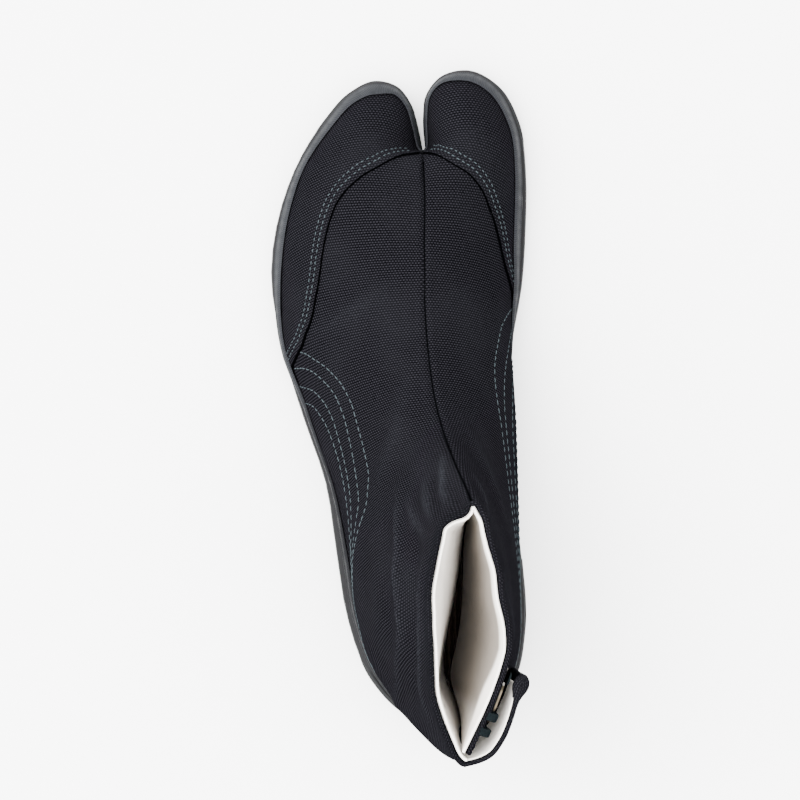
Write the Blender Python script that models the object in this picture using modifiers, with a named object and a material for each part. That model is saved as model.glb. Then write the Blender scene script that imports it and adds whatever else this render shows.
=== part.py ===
"""Split-toe canvas ankle shoe for the left foot, with a rubber sole and a hooked closure at the inner heel.

Tables are in millimetres and the scene is in metres. +Y points to the toes, +X to the inner side of the
foot and +Z up. The shoe stands on z = 0, with its box centred on the Z axis.
"""

import math
from collections import namedtuple

import bmesh
import bpy
import numpy as np
from mathutils import Vector
from mathutils.bvhtree import BVHTree

MM = 0.001
SHARP = math.radians(35)
COLLECTION = "split_toe_shoe"

# Driving sizes, in millimetres
CENTRE_X = 0.4
GAP = 0.3
FEATHER_GAP = 0.7
TIP_RISE = 1.2
CANVAS = 1.5
GUARD = 0.7
GUARD_GAP = 0.5
FLAP = 1.3
FOXING = 1.5
FOXING_HEIGHT = 8.0
LIP = 1.0
BUMPER = 1.2
INSOLE = 3.0
INSOLE_CLEAR = 1.4
HEEL_HEIGHT = 6.0
ROOT_RADIUS = 0.6
CLASP = 0.7
FLAP_GAP = 0.45
FLAP_SLACK = 3.0

# Sole edge seen from above, from the root of the toe split round the heel and back to the root
EdgePoint = namedtuple("EdgePoint", "name x y")
SOLE_EDGE = (
    EdgePoint("cleft_outer_root", 9.0, 102.0),
    EdgePoint("cleft_outer_mid", 7.4, 110.5),
    EdgePoint("cleft_outer_front", 4.8, 119.2),
    EdgePoint("small_toe_corner", -0.6, 126.3),
    EdgePoint("small_toe_tip", -9.5, 128.8),
    EdgePoint("small_toe_side", -20.5, 124.0),
    EdgePoint("fourth_toe", -30.0, 114.0),
    EdgePoint("fifth_toe", -39.5, 100.0),
    EdgePoint("outer_ball_front", -48.0, 79.5),
    EdgePoint("outer_ball", -52.4, 52.0),
    EdgePoint("outer_ball_back", -48.6, 25.0),
    EdgePoint("outer_waist_front", -39.0, -7.0),
    EdgePoint("outer_waist", -30.0, -33.0),
    EdgePoint("outer_heel_front", -25.3, -62.0),
    EdgePoint("outer_heel", -20.6, -89.0),
    EdgePoint("outer_heel_corner", -11.0, -113.0),
    EdgePoint("heel_outer_back", 2.0, -126.0),
    EdgePoint("heel_rear", 18.5, -130.6),
    EdgePoint("heel_inner_back", 35.0, -126.0),
    EdgePoint("inner_heel_corner", 46.5, -112.0),
    EdgePoint("inner_heel", 50.6, -92.0),
    EdgePoint("inner_heel_front", 49.3, -64.0),
    EdgePoint("inner_waist", 45.4, -33.0),
    EdgePoint("inner_arch", 43.8, -4.0),
    EdgePoint("inner_waist_front", 45.2, 22.0),
    EdgePoint("inner_ball_back", 49.3, 46.0),
    EdgePoint("inner_ball", 50.9, 70.0),
    EdgePoint("inner_ball_front", 51.0, 92.0),
    EdgePoint("big_toe_side", 48.4, 111.6),
    EdgePoint("big_toe_corner", 40.2, 126.2),
    EdgePoint("big_toe_tip", 27.5, 132.8),
    EdgePoint("big_toe_inner", 16.5, 130.2),
    EdgePoint("cleft_inner_front", 10.7, 123.0),
    EdgePoint("cleft_inner_mid", 9.4, 112.5),
    EdgePoint("cleft_inner_root", 10.2, 102.0),
)
SAMPLES_PER_SPAN = 24

# Height of the outsole's under side and top along the shoe
SoleRow = namedtuple("SoleRow", "y under top")
SOLE_PROFILE = (
    SoleRow(-131.0, 6.3, 11.6),
    SoleRow(-100.0, 6.3, 11.4),
    SoleRow(-62.0, 6.3, 11.2),
    SoleRow(-30.0, 4.0, 9.2),
    SoleRow(5.0, 1.3, 6.9),
    SoleRow(35.0, 0.0, 5.6),
    SoleRow(75.0, 0.0, 5.4),
    SoleRow(105.0, 1.8, 7.0),
    SoleRow(133.0, 7.0, 11.6),
)

# Ridge of the instep, where the two canvas panels are sewn together, from the toe split to the collar
RailPoint = namedtuple("RailPoint", "x y z")
RIDGE = (
    RailPoint(10.4, 98.0, 31.0),
    RailPoint(11.2, 80.0, 40.5),
    RailPoint(11.4, 58.0, 48.0),
    RailPoint(12.0, 35.0, 55.5),
    RailPoint(13.6, 17.0, 62.5),
    RailPoint(16.0, 2.0, 71.0),
    RailPoint(19.3, -10.0, 82.0),
    RailPoint(23.0, -19.5, 95.0),
    RailPoint(27.0, -28.0, 109.5),
    RailPoint(31.2, -37.3, 127.0),
)
# Line up the back of the heel, from just above the sole to the collar
BACK = (
    RailPoint(19.0, -130.0, 36.0),
    RailPoint(21.0, -129.5, 64.0),
    RailPoint(24.5, -130.5, 95.0),
    RailPoint(29.0, -133.0, 124.0),
)

# Sections of the upper. edge runs along the sole edge from toe tip (0) to heel (1) and up the back (2).
# seam runs along the toe split from tip (0) to root (1) and along the ridge to the collar (2).
# girth is how far up the section its widest point lies, and wide is that point's x where it overhangs.
# lean is the angle at which the wall leaves its base, from upright (0) to sideways (90).
# crown is the share of the way from seam to edge where a toe is highest, and top is its height there.
Section = namedtuple(
    "Section",
    "name edge seam power lean outer_girth inner_girth outer_wide inner_wide crown outer_top inner_top",
)
SECTIONS = (
    Section("tip", 0.000, 0.00, 2.0, 0, 0.0, 0.0, -5.0, 26.0, 0.50, 11.9, 12.6),
    Section("toe_front", 0.022, 0.20, 2.0, 0, 0.5, 0.5, -10.0, 33.0, 0.50, 18.0, 19.5),
    Section("toe_middle", 0.055, 0.48, 2.0, 0, 0.5, 0.5, -16.0, 38.0, 0.50, 23.5, 26.0),
    Section("toe_back", 0.095, 0.76, 1.9, 0, 0.5, 0.5, -22.0, 41.0, 0.48, 28.0, 31.5),
    Section("root_low", 0.138, 1.00, 1.9, 0, 0.5, 0.5, -29.0, 43.0, 0.44, 31.5, 35.5),
    Section("root_high", 0.178, 1.12, 1.8, 0, 0.5, 0.5, -35.0, 44.5, 0.36, 35.0, 38.0),
    Section("ball_front", 0.235, 1.22, 1.75, 0, 0.5, 0.5, -42.0, 45.5, 0.18, 41.3, 42.2),
    Section("ball", 0.310, 1.33, 1.7, 0, 1.0, 2.0, -47.5, 46.0, 0.00, 47.0, 47.0),
    Section("vamp", 0.410, 1.455, 1.7, 0, 4.0, 12.0, -45.9, 45.0, 0.00, 51.0, 51.0),
    Section("waist", 0.510, 1.557, 1.7, 0, 8.0, 19.0, -36.4, 46.6, 0.00, 51.0, 51.0),
    Section("instep", 0.620, 1.640, 1.75, 0, 13.0, 22.0, -27.4, 47.6, 0.00, 51.0, 51.0),
    Section("heel_front", 0.750, 1.700, 1.8, 10, 21.0, 25.0, -21.4, 48.4, 0.00, 51.0, 51.0),
    Section("heel_side", 0.880, 1.745, 1.9, 28, 34.0, 34.0, -19.2, 48.9, 0.00, 51.0, 51.0),
    Section("heel_low", 1.000, 1.775, 1.9, 55, 48.0, 48.0, -17.0, 48.8, 0.00, 51.0, 51.0),
    Section("heel_high", 1.210, 1.825, 1.85, 80, 50.0, 50.0, -11.0, 48.0, 0.00, 51.0, 51.0),
    Section("ankle", 1.460, 1.880, 1.75, 90, 50.0, 50.0, -4.0, 47.0, 0.00, 51.0, 51.0),
    Section("shaft", 1.740, 1.938, 1.6, 90, 50.0, 50.0, 5.0, 45.8, 0.00, 51.0, 51.0),
    Section("collar", 2.000, 2.000, 1.5, 90, 50.0, 50.0, 13.5, 45.0, 0.00, 51.0, 51.0),
)
ROW = {section.name: row for row, section in enumerate(SECTIONS)}
OUTER = -1
INNER = 1
CLEFT_BULGE = 1.6
SECTION_STEPS = 25
ROWS_FINE = 12
SHARES_FINE = 96


def interpolate(knots, values, at):
    """Smooth cubic values at the given places, through values that belong to rising knots."""
    knots = np.asarray(knots, float)
    values = np.asarray(values, float)
    at = np.clip(np.asarray(at, float), knots[0], knots[-1])
    slopes = np.gradient(values, knots, axis=0)
    low = np.clip(np.searchsorted(knots, at, side="right") - 1, 0, len(knots) - 2)
    span = knots[low + 1] - knots[low]
    t = (at - knots[low]) / span
    if values.ndim == 2:
        t = t[:, None]
        span = span[:, None]
    start = (1 + 2 * t) * (1 - t) ** 2 * values[low] + t * (1 - t) ** 2 * span * slopes[low]
    end = t * t * (3 - 2 * t) * values[low + 1] + t * t * (t - 1) * span * slopes[low + 1]
    return start + end


def lengths_along(points):
    steps = np.linalg.norm(np.diff(points, axis=0), axis=1)
    return np.concatenate([[0.0], np.cumsum(steps)])


def curve_through(points, per_span):
    """Dense points on a smooth curve through the given ones, with per_span steps between neighbours."""
    points = np.asarray(points, float)
    knots = lengths_along(points)
    places = np.interp(np.arange((len(points) - 1) * per_span + 1) / per_span, np.arange(len(points)), knots)
    return interpolate(knots, points, places)


def along(points, shares):
    """Points at the given shares of a curve's length."""
    lengths = lengths_along(points)
    places = np.clip(shares, 0.0, 1.0) * lengths[-1]
    return np.stack([np.interp(places, lengths, points[:, axis]) for axis in range(points.shape[1])], axis=1)


def ramp(value, low, high):
    """0 below low, 1 above high, smooth between."""
    t = np.clip((np.asarray(value, float) - low) / (high - low), 0.0, 1.0)
    return t * t * (3 - 2 * t)


def sole_height(y, column):
    """Height of the outsole's under side or top at y, never below the floor."""
    heights = interpolate([row.y for row in SOLE_PROFILE], [getattr(row, column) for row in SOLE_PROFILE], y)
    return np.maximum(heights, 0.0)


def feather_height(y):
    """Height at which the upper starts, higher at the toe tips, where its wall lies flatter."""
    return sole_height(y, "top") + FEATHER_GAP + TIP_RISE * ramp(y, 110.0, 124.0)


class SoleEdge:
    """The sole's edge as a dense curve with its inward normals, and insets of it with a round root."""

    def __init__(self):
        self.curve = curve_through([(point.x, point.y) for point in SOLE_EDGE], SAMPLES_PER_SPAN)
        self.names = {point.name: row * SAMPLES_PER_SPAN for row, point in enumerate(SOLE_EDGE)}
        run = np.gradient(self.curve, axis=0)
        run /= np.linalg.norm(run, axis=1)[:, None]
        self.inward = np.stack([-run[:, 1], run[:, 0]], axis=1)
        first, last = self.curve[0], self.curve[-1]
        self.root = (first + last) / 2

    def split(self):
        """1 inside the toe split and 0 outside it, along the curve."""
        index = np.arange(len(self.curve))
        outer = 1 - ramp(index, self.names["cleft_outer_front"], self.names["small_toe_tip"])
        inner = ramp(index, self.names["big_toe_tip"], self.names["cleft_inner_front"])
        return np.maximum(outer, inner)

    def toes(self):
        """1 where the toe guards lie and 0 behind them, along the curve."""
        outer_side = ramp(self.curve[:, 1], -2.0, 8.0)
        inner_side = ramp(self.curve[:, 1], 22.0, 32.0)
        return np.where(self.curve[:, 0] < self.root[0], outer_side, inner_side)

    def lip(self):
        return LIP + (0.2 - LIP) * self.split()

    def band(self):
        return FOXING + (1.0 - FOXING) * self.split()

    def upper_inset(self):
        return self.lip() + self.band() + GAP + self.toes() * (GUARD + GAP)

    def inset(self, amount):
        return self.curve + self.inward * np.broadcast_to(amount, len(self.curve))[:, None]

    def root_arc(self, amount, steps):
        """Round end of the toe split after an inset, from its outer to its inner side."""
        radius = ROOT_RADIUS + amount
        angles = np.linspace(math.pi, 2 * math.pi, steps + 1)
        return self.root + radius * np.stack([np.cos(angles), np.sin(angles)], axis=1)


EDGE = SoleEdge()


def with_height(points, heights):
    return np.column_stack([points, heights])


def base_rail(side):
    """Line where the wall starts: the upper's sole edge from toe tip to heel, and the back of the heel."""
    line = EDGE.inset(EDGE.upper_inset())
    if side == OUTER:
        line = line[EDGE.names["small_toe_tip"]:EDGE.names["heel_rear"] + 1]
    else:
        line = line[EDGE.names["heel_rear"]:EDGE.names["big_toe_tip"] + 1][::-1]
    edge = with_height(line, feather_height(line[:, 1]))
    back = curve_through(np.vstack([edge[-1:], [tuple(point) for point in BACK]]), SAMPLES_PER_SPAN)
    return edge, back


def seam_rail(side):
    """Line where the wall ends: the toe split from tip to root, and up the root and along the ridge."""
    inset = EDGE.upper_inset()
    line = EDGE.inset(inset)
    arc = EDGE.root_arc(inset[0], SAMPLES_PER_SPAN)
    half = SAMPLES_PER_SPAN // 2
    if side == OUTER:
        line = np.vstack([line[:EDGE.names["small_toe_tip"] + 1][::-1], arc[1:half + 1]])
    else:
        line = np.vstack([line[EDGE.names["big_toe_tip"]:], arc[::-1][1:half + 1]])
    split = with_height(line, feather_height(line[:, 1]))
    ridge = curve_through([tuple(point) for point in RIDGE], SAMPLES_PER_SPAN)
    return split, np.vstack([split[-1:], ridge])


def on_rail(rail, places):
    first, second = rail
    near = along(first, places)
    far = along(second, places - 1.0)
    return np.where(places[:, None] <= 1.0, near, far)


def edge_direction(side, places):
    """Unit vectors along the sole edge towards the toe tip, and sideways up the back of the heel."""
    edge, _ = base_rail(side)
    ahead = along(edge, places - 0.01) - along(edge, places)
    ahead[:, 2] = 0.0
    ahead[places > 1.0] = (side, 0.0, 0.0)
    return ahead / np.maximum(np.linalg.norm(ahead, axis=1), 1e-9)[:, None]


def section_column(name, rows):
    return interpolate(range(len(SECTIONS)), [getattr(section, name) for section in SECTIONS], rows)


def bezier(start, start_handle, end_handle, end, t):
    t = t[:, None]
    near = (1 - t) ** 3 * start + 3 * t * (1 - t) ** 2 * start_handle
    far = 3 * t * t * (1 - t) * end_handle + t ** 3 * end
    return near + far


def section_curve(side, base, forward, seam, girth, power, lean, wide, crown_share, top):
    """Dense curve of one section: from the base out to the girth, over the crown and on to the seam.

    forward points along the sole edge to the toe. A handle of this length makes the curve between base
    and girth as full as a superellipse of the same power.
    """
    crown = seam + crown_share * (base - seam)
    crown[2] = max(seam[2], top)
    foot = np.array([crown[0], base[1], base[2]])
    height = np.linalg.norm(crown - foot)
    up = (crown - foot) / max(height, 1e-6)
    girth = min(girth, 0.6 * height)
    widest = foot + girth * up
    widest[0] = base[0] + side * max(0.0, side * (wide - base[0]))
    angle = math.radians(lean)
    leave = math.sin(angle) * forward + math.cos(angle) * np.array([0.0, 0.0, 1.0])
    handle = (2 ** (-1 / power) - 0.5) / 0.375
    leave_handle = base + handle * abs(np.dot(widest - base, leave)) * leave
    reach_handle = widest - handle * abs(np.dot(widest - base, up)) * up
    steps = np.linspace(0.0, 1.0, SECTION_STEPS)
    low = bezier(base, leave_handle, reach_handle, widest, steps)
    sines = np.sin(steps * math.pi / 2)
    cosines = np.cos(steps * math.pi / 2)
    high = widest + np.outer((height - girth) * sines ** (2 / power), up)
    high[:, 0] = crown[0] + (widest[0] - crown[0]) * np.abs(cosines) ** (2 / power)
    over = crown + np.outer(sines, seam - crown)
    over[:, 2] = crown[2] + (seam[2] - crown[2]) * (1 - cosines)
    bulge = min(CLEFT_BULGE, 0.4 * abs(seam[0] - EDGE.root[0])) * ramp(crown[2] - seam[2], 0.0, 20.0)
    over[:, 0] -= side * bulge * np.sin(steps * math.pi) * cosines
    return np.vstack([low, high[1:], over[1:]])


class Panel:
    """One canvas panel of the upper as a fine grid: rows follow the sections, shares go from base to seam."""

    def __init__(self, side):
        self.side = side
        self.rows = np.linspace(0, len(SECTIONS) - 1, (len(SECTIONS) - 1) * ROWS_FINE + 1)
        self.shares = np.linspace(0.0, 1.0, SHARES_FINE + 1)
        which = "outer" if side == OUTER else "inner"
        places = section_column("edge", self.rows)
        base = on_rail(base_rail(side), places)
        forward = edge_direction(side, places)
        seam = on_rail(seam_rail(side), section_column("seam", self.rows))
        girth = section_column(which + "_girth", self.rows)
        power = section_column("power", self.rows)
        lean = section_column("lean", self.rows)
        wide = section_column(which + "_wide", self.rows)
        crown = section_column("crown", self.rows)
        top = section_column(which + "_top", self.rows)
        grid = []
        for row in range(len(self.rows)):
            shape = girth[row], power[row], lean[row], wide[row], crown[row], top[row]
            curve = section_curve(side, base[row], forward[row], seam[row], *shape)
            grid.append(along(curve, self.shares))
        self.points = np.array(grid)
        self.smooth(10)
        self.normals = self.find_normals()
        if side == INNER:
            self.make_room_for_flap()

    def smooth(self, passes):
        """Evens the grid out along the rows, with its borders held."""
        for _ in range(passes):
            middle = self.points[1:-1, 1:-1]
            sides = self.points[:-2, 1:-1] + self.points[2:, 1:-1]
            self.points[1:-1, 1:-1] = middle / 2 + sides / 4

    def find_normals(self):
        across = np.gradient(self.points, axis=1)
        down = np.gradient(self.points, axis=0)
        normals = np.cross(across, down) * self.side
        sizes = np.linalg.norm(normals, axis=2, keepdims=True)
        normals = normals / np.maximum(sizes, 1e-9)
        normals[0] = normals[1]
        return normals

    def make_room_for_flap(self):
        """Lets the panel step in at the back, by the flap's thickness, and fall flat at the collar."""
        rows, shares = np.meshgrid(self.rows, self.shares, indexing="ij")
        step = ramp(shares, 0.0, 0.03) * (1 - ramp(shares, 0.05, 0.30)) * ramp(rows, 13.6, 14.4)
        slack = np.sin(math.pi * np.clip(shares / 0.45, 0.0, 1.0)) * ramp(rows, 14.5, 17.0)
        depth = (FLAP + FLAP_GAP) * step + FLAP_SLACK * slack
        self.points = self.points - self.normals * depth[..., None]
        self.normals = self.find_normals()

    def at(self, rows, shares, lift=0.0):
        """Points of the panel at rows and shares, arrays of one shape, lifted off along its normals."""
        r = np.clip(np.asarray(rows, float) * ROWS_FINE, 0, len(self.rows) - 1.000001)
        s = np.clip(np.asarray(shares, float) * SHARES_FINE, 0, SHARES_FINE - 0.000001)
        i = r.astype(int)
        j = s.astype(int)
        a = (r - i)[..., None]
        b = (s - j)[..., None]
        lifted = []
        for field in (self.points, self.normals):
            near = field[i, j] * (1 - b) + field[i, j + 1] * b
            far = field[i + 1, j] * (1 - b) + field[i + 1, j + 1] * b
            lifted.append(near * (1 - a) + far * a)
        return lifted[0] + lifted[1] * np.asarray(lift, float)[..., None]


PANELS = {OUTER: Panel(OUTER), INNER: Panel(INNER)}


def new_object(name, mesh, material):
    obj = bpy.data.objects.new(name, mesh)
    mesh.materials.append(material)
    bpy.data.collections[COLLECTION].objects.link(obj)
    return obj


def mesh_from(name, build):
    """A mesh made by a function that fills a bmesh."""
    bm = bmesh.new()
    build(bm)
    mesh = bpy.data.meshes.new(name)
    bm.to_mesh(mesh)
    bm.free()
    mesh.shade_smooth()
    mesh.set_sharp_from_angle(angle=SHARP)
    return mesh


def add_grid(bm, points, flip):
    """Faces between neighbouring rows and columns of a grid of points in millimetres."""
    rows, columns = points.shape[:2]
    verts = [[bm.verts.new(points[i, j] * MM) for j in range(columns)] for i in range(rows)]
    for i in range(rows - 1):
        for j in range(columns - 1):
            here, right = verts[i][j], verts[i][j + 1]
            below, across = verts[i + 1][j], verts[i + 1][j + 1]
            for face in ([here, right, below], [right, across, below]):
                bm.faces.new(face[::-1] if flip else face)


def weld(bm, distance=0.02):
    bmesh.ops.remove_doubles(bm, verts=bm.verts, dist=distance * MM)


def shell(name, mesh, thickness, material):
    """A wall that grows outwards from an open surface by its thickness, or inwards where it is negative."""
    obj = new_object(name, mesh, material)
    solid = obj.modifiers.new("wall", "SOLIDIFY")
    solid.thickness = abs(thickness) * MM
    solid.offset = math.copysign(1.0, thickness)
    solid.use_quality_normals = True
    return obj


# Rows and shares of the panels that the canvas solids have their corners at
FLAP_ROWS = np.linspace(14.0, 17.0, 7)
FLAP_SHARES = np.linspace(0.10, 0.38, 5)
BASE_CLEAR = 0.04
SEAM_CLEAR = 0.93
UPPER_ROWS = np.concatenate([
    [0.0, 0.35, 0.7, 1.1, 1.5, 2.0, 2.5, 3.0, 3.5],
    np.linspace(4.0, 6.0, 7),
    np.linspace(6.0, 11.5, 10)[1:],
    np.linspace(12.0, 13.5, 7),
    FLAP_ROWS,
])
UPPER_SHARES = np.concatenate([
    [0.0, 0.02, BASE_CLEAR],
    FLAP_SHARES,
    np.linspace(0.46, 0.86, 6),
    [SEAM_CLEAR, 0.965, 1.0],
])


def upper_grid(side, rows, shares, lift=0.0):
    rows, shares = np.meshgrid(rows, shares, indexing="ij")
    return PANELS[side].at(rows, shares, np.broadcast_to(lift, rows.shape))


def build_upper(material):
    def build(bm):
        for side in PANELS:
            add_grid(bm, upper_grid(side, UPPER_ROWS, UPPER_SHARES), side == OUTER)
        weld(bm)

    return shell("upper", mesh_from("upper", build), -CANVAS, material)


# Back edge of the toe guards: the row of the upper that it crosses at each share from base to seam
GuardEdge = namedtuple("GuardEdge", "share outer_row inner_row")
GUARD_EDGE = (
    GuardEdge(0.00, 8.40, 7.60),
    GuardEdge(0.20, 8.33, 7.27),
    GuardEdge(0.30, 8.22, 7.00),
    GuardEdge(0.40, 7.90, 6.50),
    GuardEdge(0.45, 6.80, 6.25),
    GuardEdge(0.50, 6.05, 6.03),
    GuardEdge(0.56, 5.68, 5.68),
    GuardEdge(0.65, 5.33, 5.33),
    GuardEdge(0.78, 4.97, 5.00),
    GuardEdge(0.85, 4.80, 4.82),
    GuardEdge(1.00, 4.85, 4.90),
)


def build_guard(name, side, material):
    """Canvas overlay on one toe: the upper's own surface up to the guard's back edge, lifted off it."""
    which = "outer_row" if side == OUTER else "inner_row"
    edge_shares = [row.share for row in GUARD_EDGE]
    edge_rows = [getattr(row, which) for row in GUARD_EDGE]

    def build(bm):
        shares = UPPER_SHARES[(UPPER_SHARES >= BASE_CLEAR) & (UPPER_SHARES <= SEAM_CLEAR)]
        behind_tip = UPPER_ROWS[1:]
        points = upper_grid(side, behind_tip, shares, GUARD_GAP)
        for column, last in enumerate(np.interp(shares, edge_shares, edge_rows)):
            rows = np.minimum(behind_tip, last)
            line = points[:, column].copy()
            for axis in range(3):
                points[:, column, axis] = np.interp(rows, behind_tip, line[:, axis])
        add_grid(bm, points, side == OUTER)
        weld(bm)

    return shell(name, mesh_from(name, build), GUARD, material)


# Outer flap of the closure, on the inner panel from the back of the heel forwards
FLAP_START = 0.04
# Top edge of the flap's inner face, from the back of the heel forwards, by share of the inner panel
TopPoint = namedtuple("TopPoint", "share x y z")
FLAP_TOP = (
    TopPoint(0.000, 29.2, -132.0, 124.0),
    TopPoint(0.055, 34.2, -130.3, 124.2),
    TopPoint(0.110, 38.3, -128.0, 124.5),
    TopPoint(0.170, 41.9, -123.0, 124.8),
    TopPoint(0.250, 45.0, -115.5, 125.2),
    TopPoint(0.310, 47.2, -109.2, 125.5),
    TopPoint(0.380, 52.0, -101.0, 125.8),
)
FLAP_OPENING = 1.4


def flap_face(rows, shares):
    """Inner face of the flap: close to the panel low down, and out to the top edge at the collar."""
    panel = PANELS[INNER]
    collar = panel.at(np.full(shares.shape, FLAP_ROWS[-1]), shares, np.full(shares.shape, FLAP_GAP))
    knots = [point.share for point in FLAP_TOP]
    places = [(point.x, point.y, point.z) for point in FLAP_TOP]
    top = interpolate(knots, places, shares.ravel()).reshape(shares.shape + (3,))
    risen = (rows - FLAP_ROWS[0]) / (FLAP_ROWS[-1] - FLAP_ROWS[0])
    low = panel.at(rows, shares, np.full(shares.shape, FLAP_GAP))
    return low + (top - collar) * (risen ** FLAP_OPENING)[..., None]


def build_flap(material):
    def build(bm):
        rows, shares = np.meshgrid(FLAP_ROWS[1:], np.append(FLAP_START, FLAP_SHARES), indexing="ij")
        add_grid(bm, flap_face(rows, shares), False)

    return shell("closure_flap", mesh_from("closure_flap", build), FLAP, material)


# Hook plates of the closure, from the collar down, half way between the flap and the panel under it
CLASP_ROWS = (16.55, 15.95, 15.35)
CLASP_SHARE = 0.25
CLASP_HALF_ROWS = 0.2
CLASP_HALF_SHARES = 0.075
CLASP_RINGS = np.array([0.0, 0.5, 1.0])
CLASP_TURN = np.linspace(0.0, 2 * math.pi, 15)


def squarish(wave):
    """Turns the sine or cosine of a circle into that of a square with round corners."""
    return np.sign(wave) * np.abs(wave) ** 0.6


def build_clasp(name, row, material):
    """Thin plate with round corners that follows the panel under it."""

    def build(bm):
        up = squarish(np.sin(CLASP_TURN))
        across = squarish(np.cos(CLASP_TURN))
        rows = row + CLASP_HALF_ROWS * CLASP_RINGS[:, None] * up
        shares = CLASP_SHARE + CLASP_HALF_SHARES * CLASP_RINGS[:, None] * across
        under = PANELS[INNER].at(rows, shares, np.full(rows.shape, -CLASP))
        add_grid(bm, (under + flap_face(rows, shares)) / 2, False)
        weld(bm)

    return shell(name, mesh_from(name, build), CLASP, material)


# Places along the sole edge that wall distances are taken at; solids use every second one
RING = np.arange(0, len(EDGE.curve), SAMPLES_PER_SPAN // 6)
ROOT_STEPS = 12
EVERY_SECOND = slice(None, None, 2)


def ring(inset):
    """Closed outline of the sole at an inset, with the round root of the toe split."""
    inset = np.broadcast_to(inset, len(EDGE.curve))
    arc = EDGE.root_arc(inset[0], ROOT_STEPS)[::-1]
    return np.vstack([EDGE.inset(inset)[RING], arc[1:-1]])


def ring_inward():
    """Inward normals that belong to the points of a ring."""
    angles = np.linspace(2 * math.pi, math.pi, ROOT_STEPS + 1)[1:-1]
    arc = np.stack([np.cos(angles), np.sin(angles)], axis=1)
    return np.vstack([EDGE.inward[RING], arc])


def on_ring(values):
    return np.concatenate([values[RING], np.full(ROOT_STEPS - 1, values[0])])


def add_loops(bm, loops, closed):
    """Skin between neighbouring loops of points, with end caps unless the last one joins the first."""
    verts = [[bm.verts.new(point * MM) for point in loop] for loop in loops]
    pairs = list(zip(verts, verts[1:]))
    if closed:
        pairs.append((verts[-1], verts[0]))
    else:
        bm.faces.new(verts[0])
        bm.faces.new(verts[-1])
    for here, there in pairs:
        for j in range(len(here)):
            k = (j + 1) % len(here)
            bm.faces.new([here[j], here[k], there[k], there[j]])
    bmesh.ops.recalc_face_normals(bm, faces=bm.faces)


def add_plate(bm, insets, levels, cuts):
    """Plate of the sole's outline: one ring per level, flat ends, and cuts across it for bending."""
    outlines = [ring(inset)[EVERY_SECOND] for inset in insets]
    loops = [with_height(outline, np.full(len(outline), level)) for outline, level in zip(outlines, levels)]
    add_loops(bm, loops, False)
    for y in cuts:
        everything = bm.verts[:] + bm.edges[:] + bm.faces[:]
        bmesh.ops.bisect_plane(bm, geom=everything, dist=1e-7, plane_co=(0, y * MM, 0), plane_no=(0, 1, 0))


def bend(bm, low, high):
    """Moves each vertex from level 0 to 1 to its height between two functions of y."""
    for vert in bm.verts:
        y = np.array([vert.co.y / MM])
        level = vert.co.z / MM
        vert.co.z = float(low(y)[0] * (1 - level) + high(y)[0] * level) * MM


BEND_CUTS = np.arange(-120.0, 130.0, 11.0)
# Side of the outsole from its tread edge up: share of its thickness, and inset
OutsoleSide = namedtuple("OutsoleSide", "level inset")
OUTSOLE_SIDE = (
    OutsoleSide(0.00, 1.4),
    OutsoleSide(0.22, 0.0),
    OutsoleSide(0.78, 0.0),
    OutsoleSide(1.00, 0.5),
)


# First and last point of the sole edge that each bumper strip covers
BUMPERS = {
    "toe_bumper_small": ("cleft_outer_front", "fourth_toe"),
    "heel_bumper": ("outer_heel_corner", "inner_heel_corner"),
    "toe_bumper_big": ("big_toe_side", "cleft_inner_front"),
}


def bumper_zone():
    """1 behind the toe and heel bumpers and 0 elsewhere, along the sole edge."""
    index = np.arange(len(EDGE.curve))
    zone = np.zeros(len(index))
    for first, last in BUMPERS.values():
        ends = EDGE.names[first], EDGE.names[last]
        zone = np.maximum(zone, ((index >= ends[0]) & (index <= ends[1])).astype(float))
    return zone


def build_outsole(material):
    recess = bumper_zone() * (BUMPER + GAP)

    def build(bm):
        insets = [row.inset + recess for row in OUTSOLE_SIDE]
        add_plate(bm, insets, [row.level for row in OUTSOLE_SIDE], BEND_CUTS)
        bend(bm, lambda y: sole_height(y, "under"), lambda y: sole_height(y, "top"))

    return new_object("outsole", mesh_from("outsole", build), material)


def build_insole(material):
    inset = EDGE.upper_inset() + CANVAS + INSOLE_CLEAR

    def build(bm):
        add_plate(bm, [inset, inset], [0.0, 1.0], BEND_CUTS)
        bend(
            bm,
            lambda y: sole_height(y, "top") + GAP,
            lambda y: sole_height(y, "top") + GAP + INSOLE,
        )

    return new_object("insole", mesh_from("insole", build), material)


# Side of the heel block from the floor up: height and inset
HeelSide = namedtuple("HeelSide", "height inset")
HEEL_SIDE = (
    HeelSide(0.0, 0.8),
    HeelSide(1.2, -0.4),
    HeelSide(HEEL_HEIGHT, -0.4),
)
# Front of the heel block, on its outer and inner side
BREAST_OUTER = (-21.5, -79.5)
BREAST_INNER = (51.0, -63.0)


def build_heel(material):
    """Block under the outsole, cut off along its slanting front."""
    recess = bumper_zone() * (BUMPER + GAP)

    def build(bm):
        insets = [row.inset + recess for row in HEEL_SIDE]
        add_plate(bm, insets, [row.height for row in HEEL_SIDE], [])
        run = Vector((BREAST_INNER[0] - BREAST_OUTER[0], BREAST_INNER[1] - BREAST_OUTER[1], 0.0))
        ahead = Vector((-run.y, run.x, 0.0)).normalized()
        start = Vector((BREAST_OUTER[0], BREAST_OUTER[1], 0.0)) * MM
        everything = bm.verts[:] + bm.edges[:] + bm.faces[:]
        bmesh.ops.bisect_plane(
            bm, geom=everything, dist=1e-7, plane_co=start, plane_no=ahead, clear_outer=True
        )
        bmesh.ops.holes_fill(bm, edges=[edge for edge in bm.edges if edge.is_boundary])
        bmesh.ops.recalc_face_normals(bm, faces=bm.faces)

    return new_object("heel", mesh_from("heel", build), material)


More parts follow.
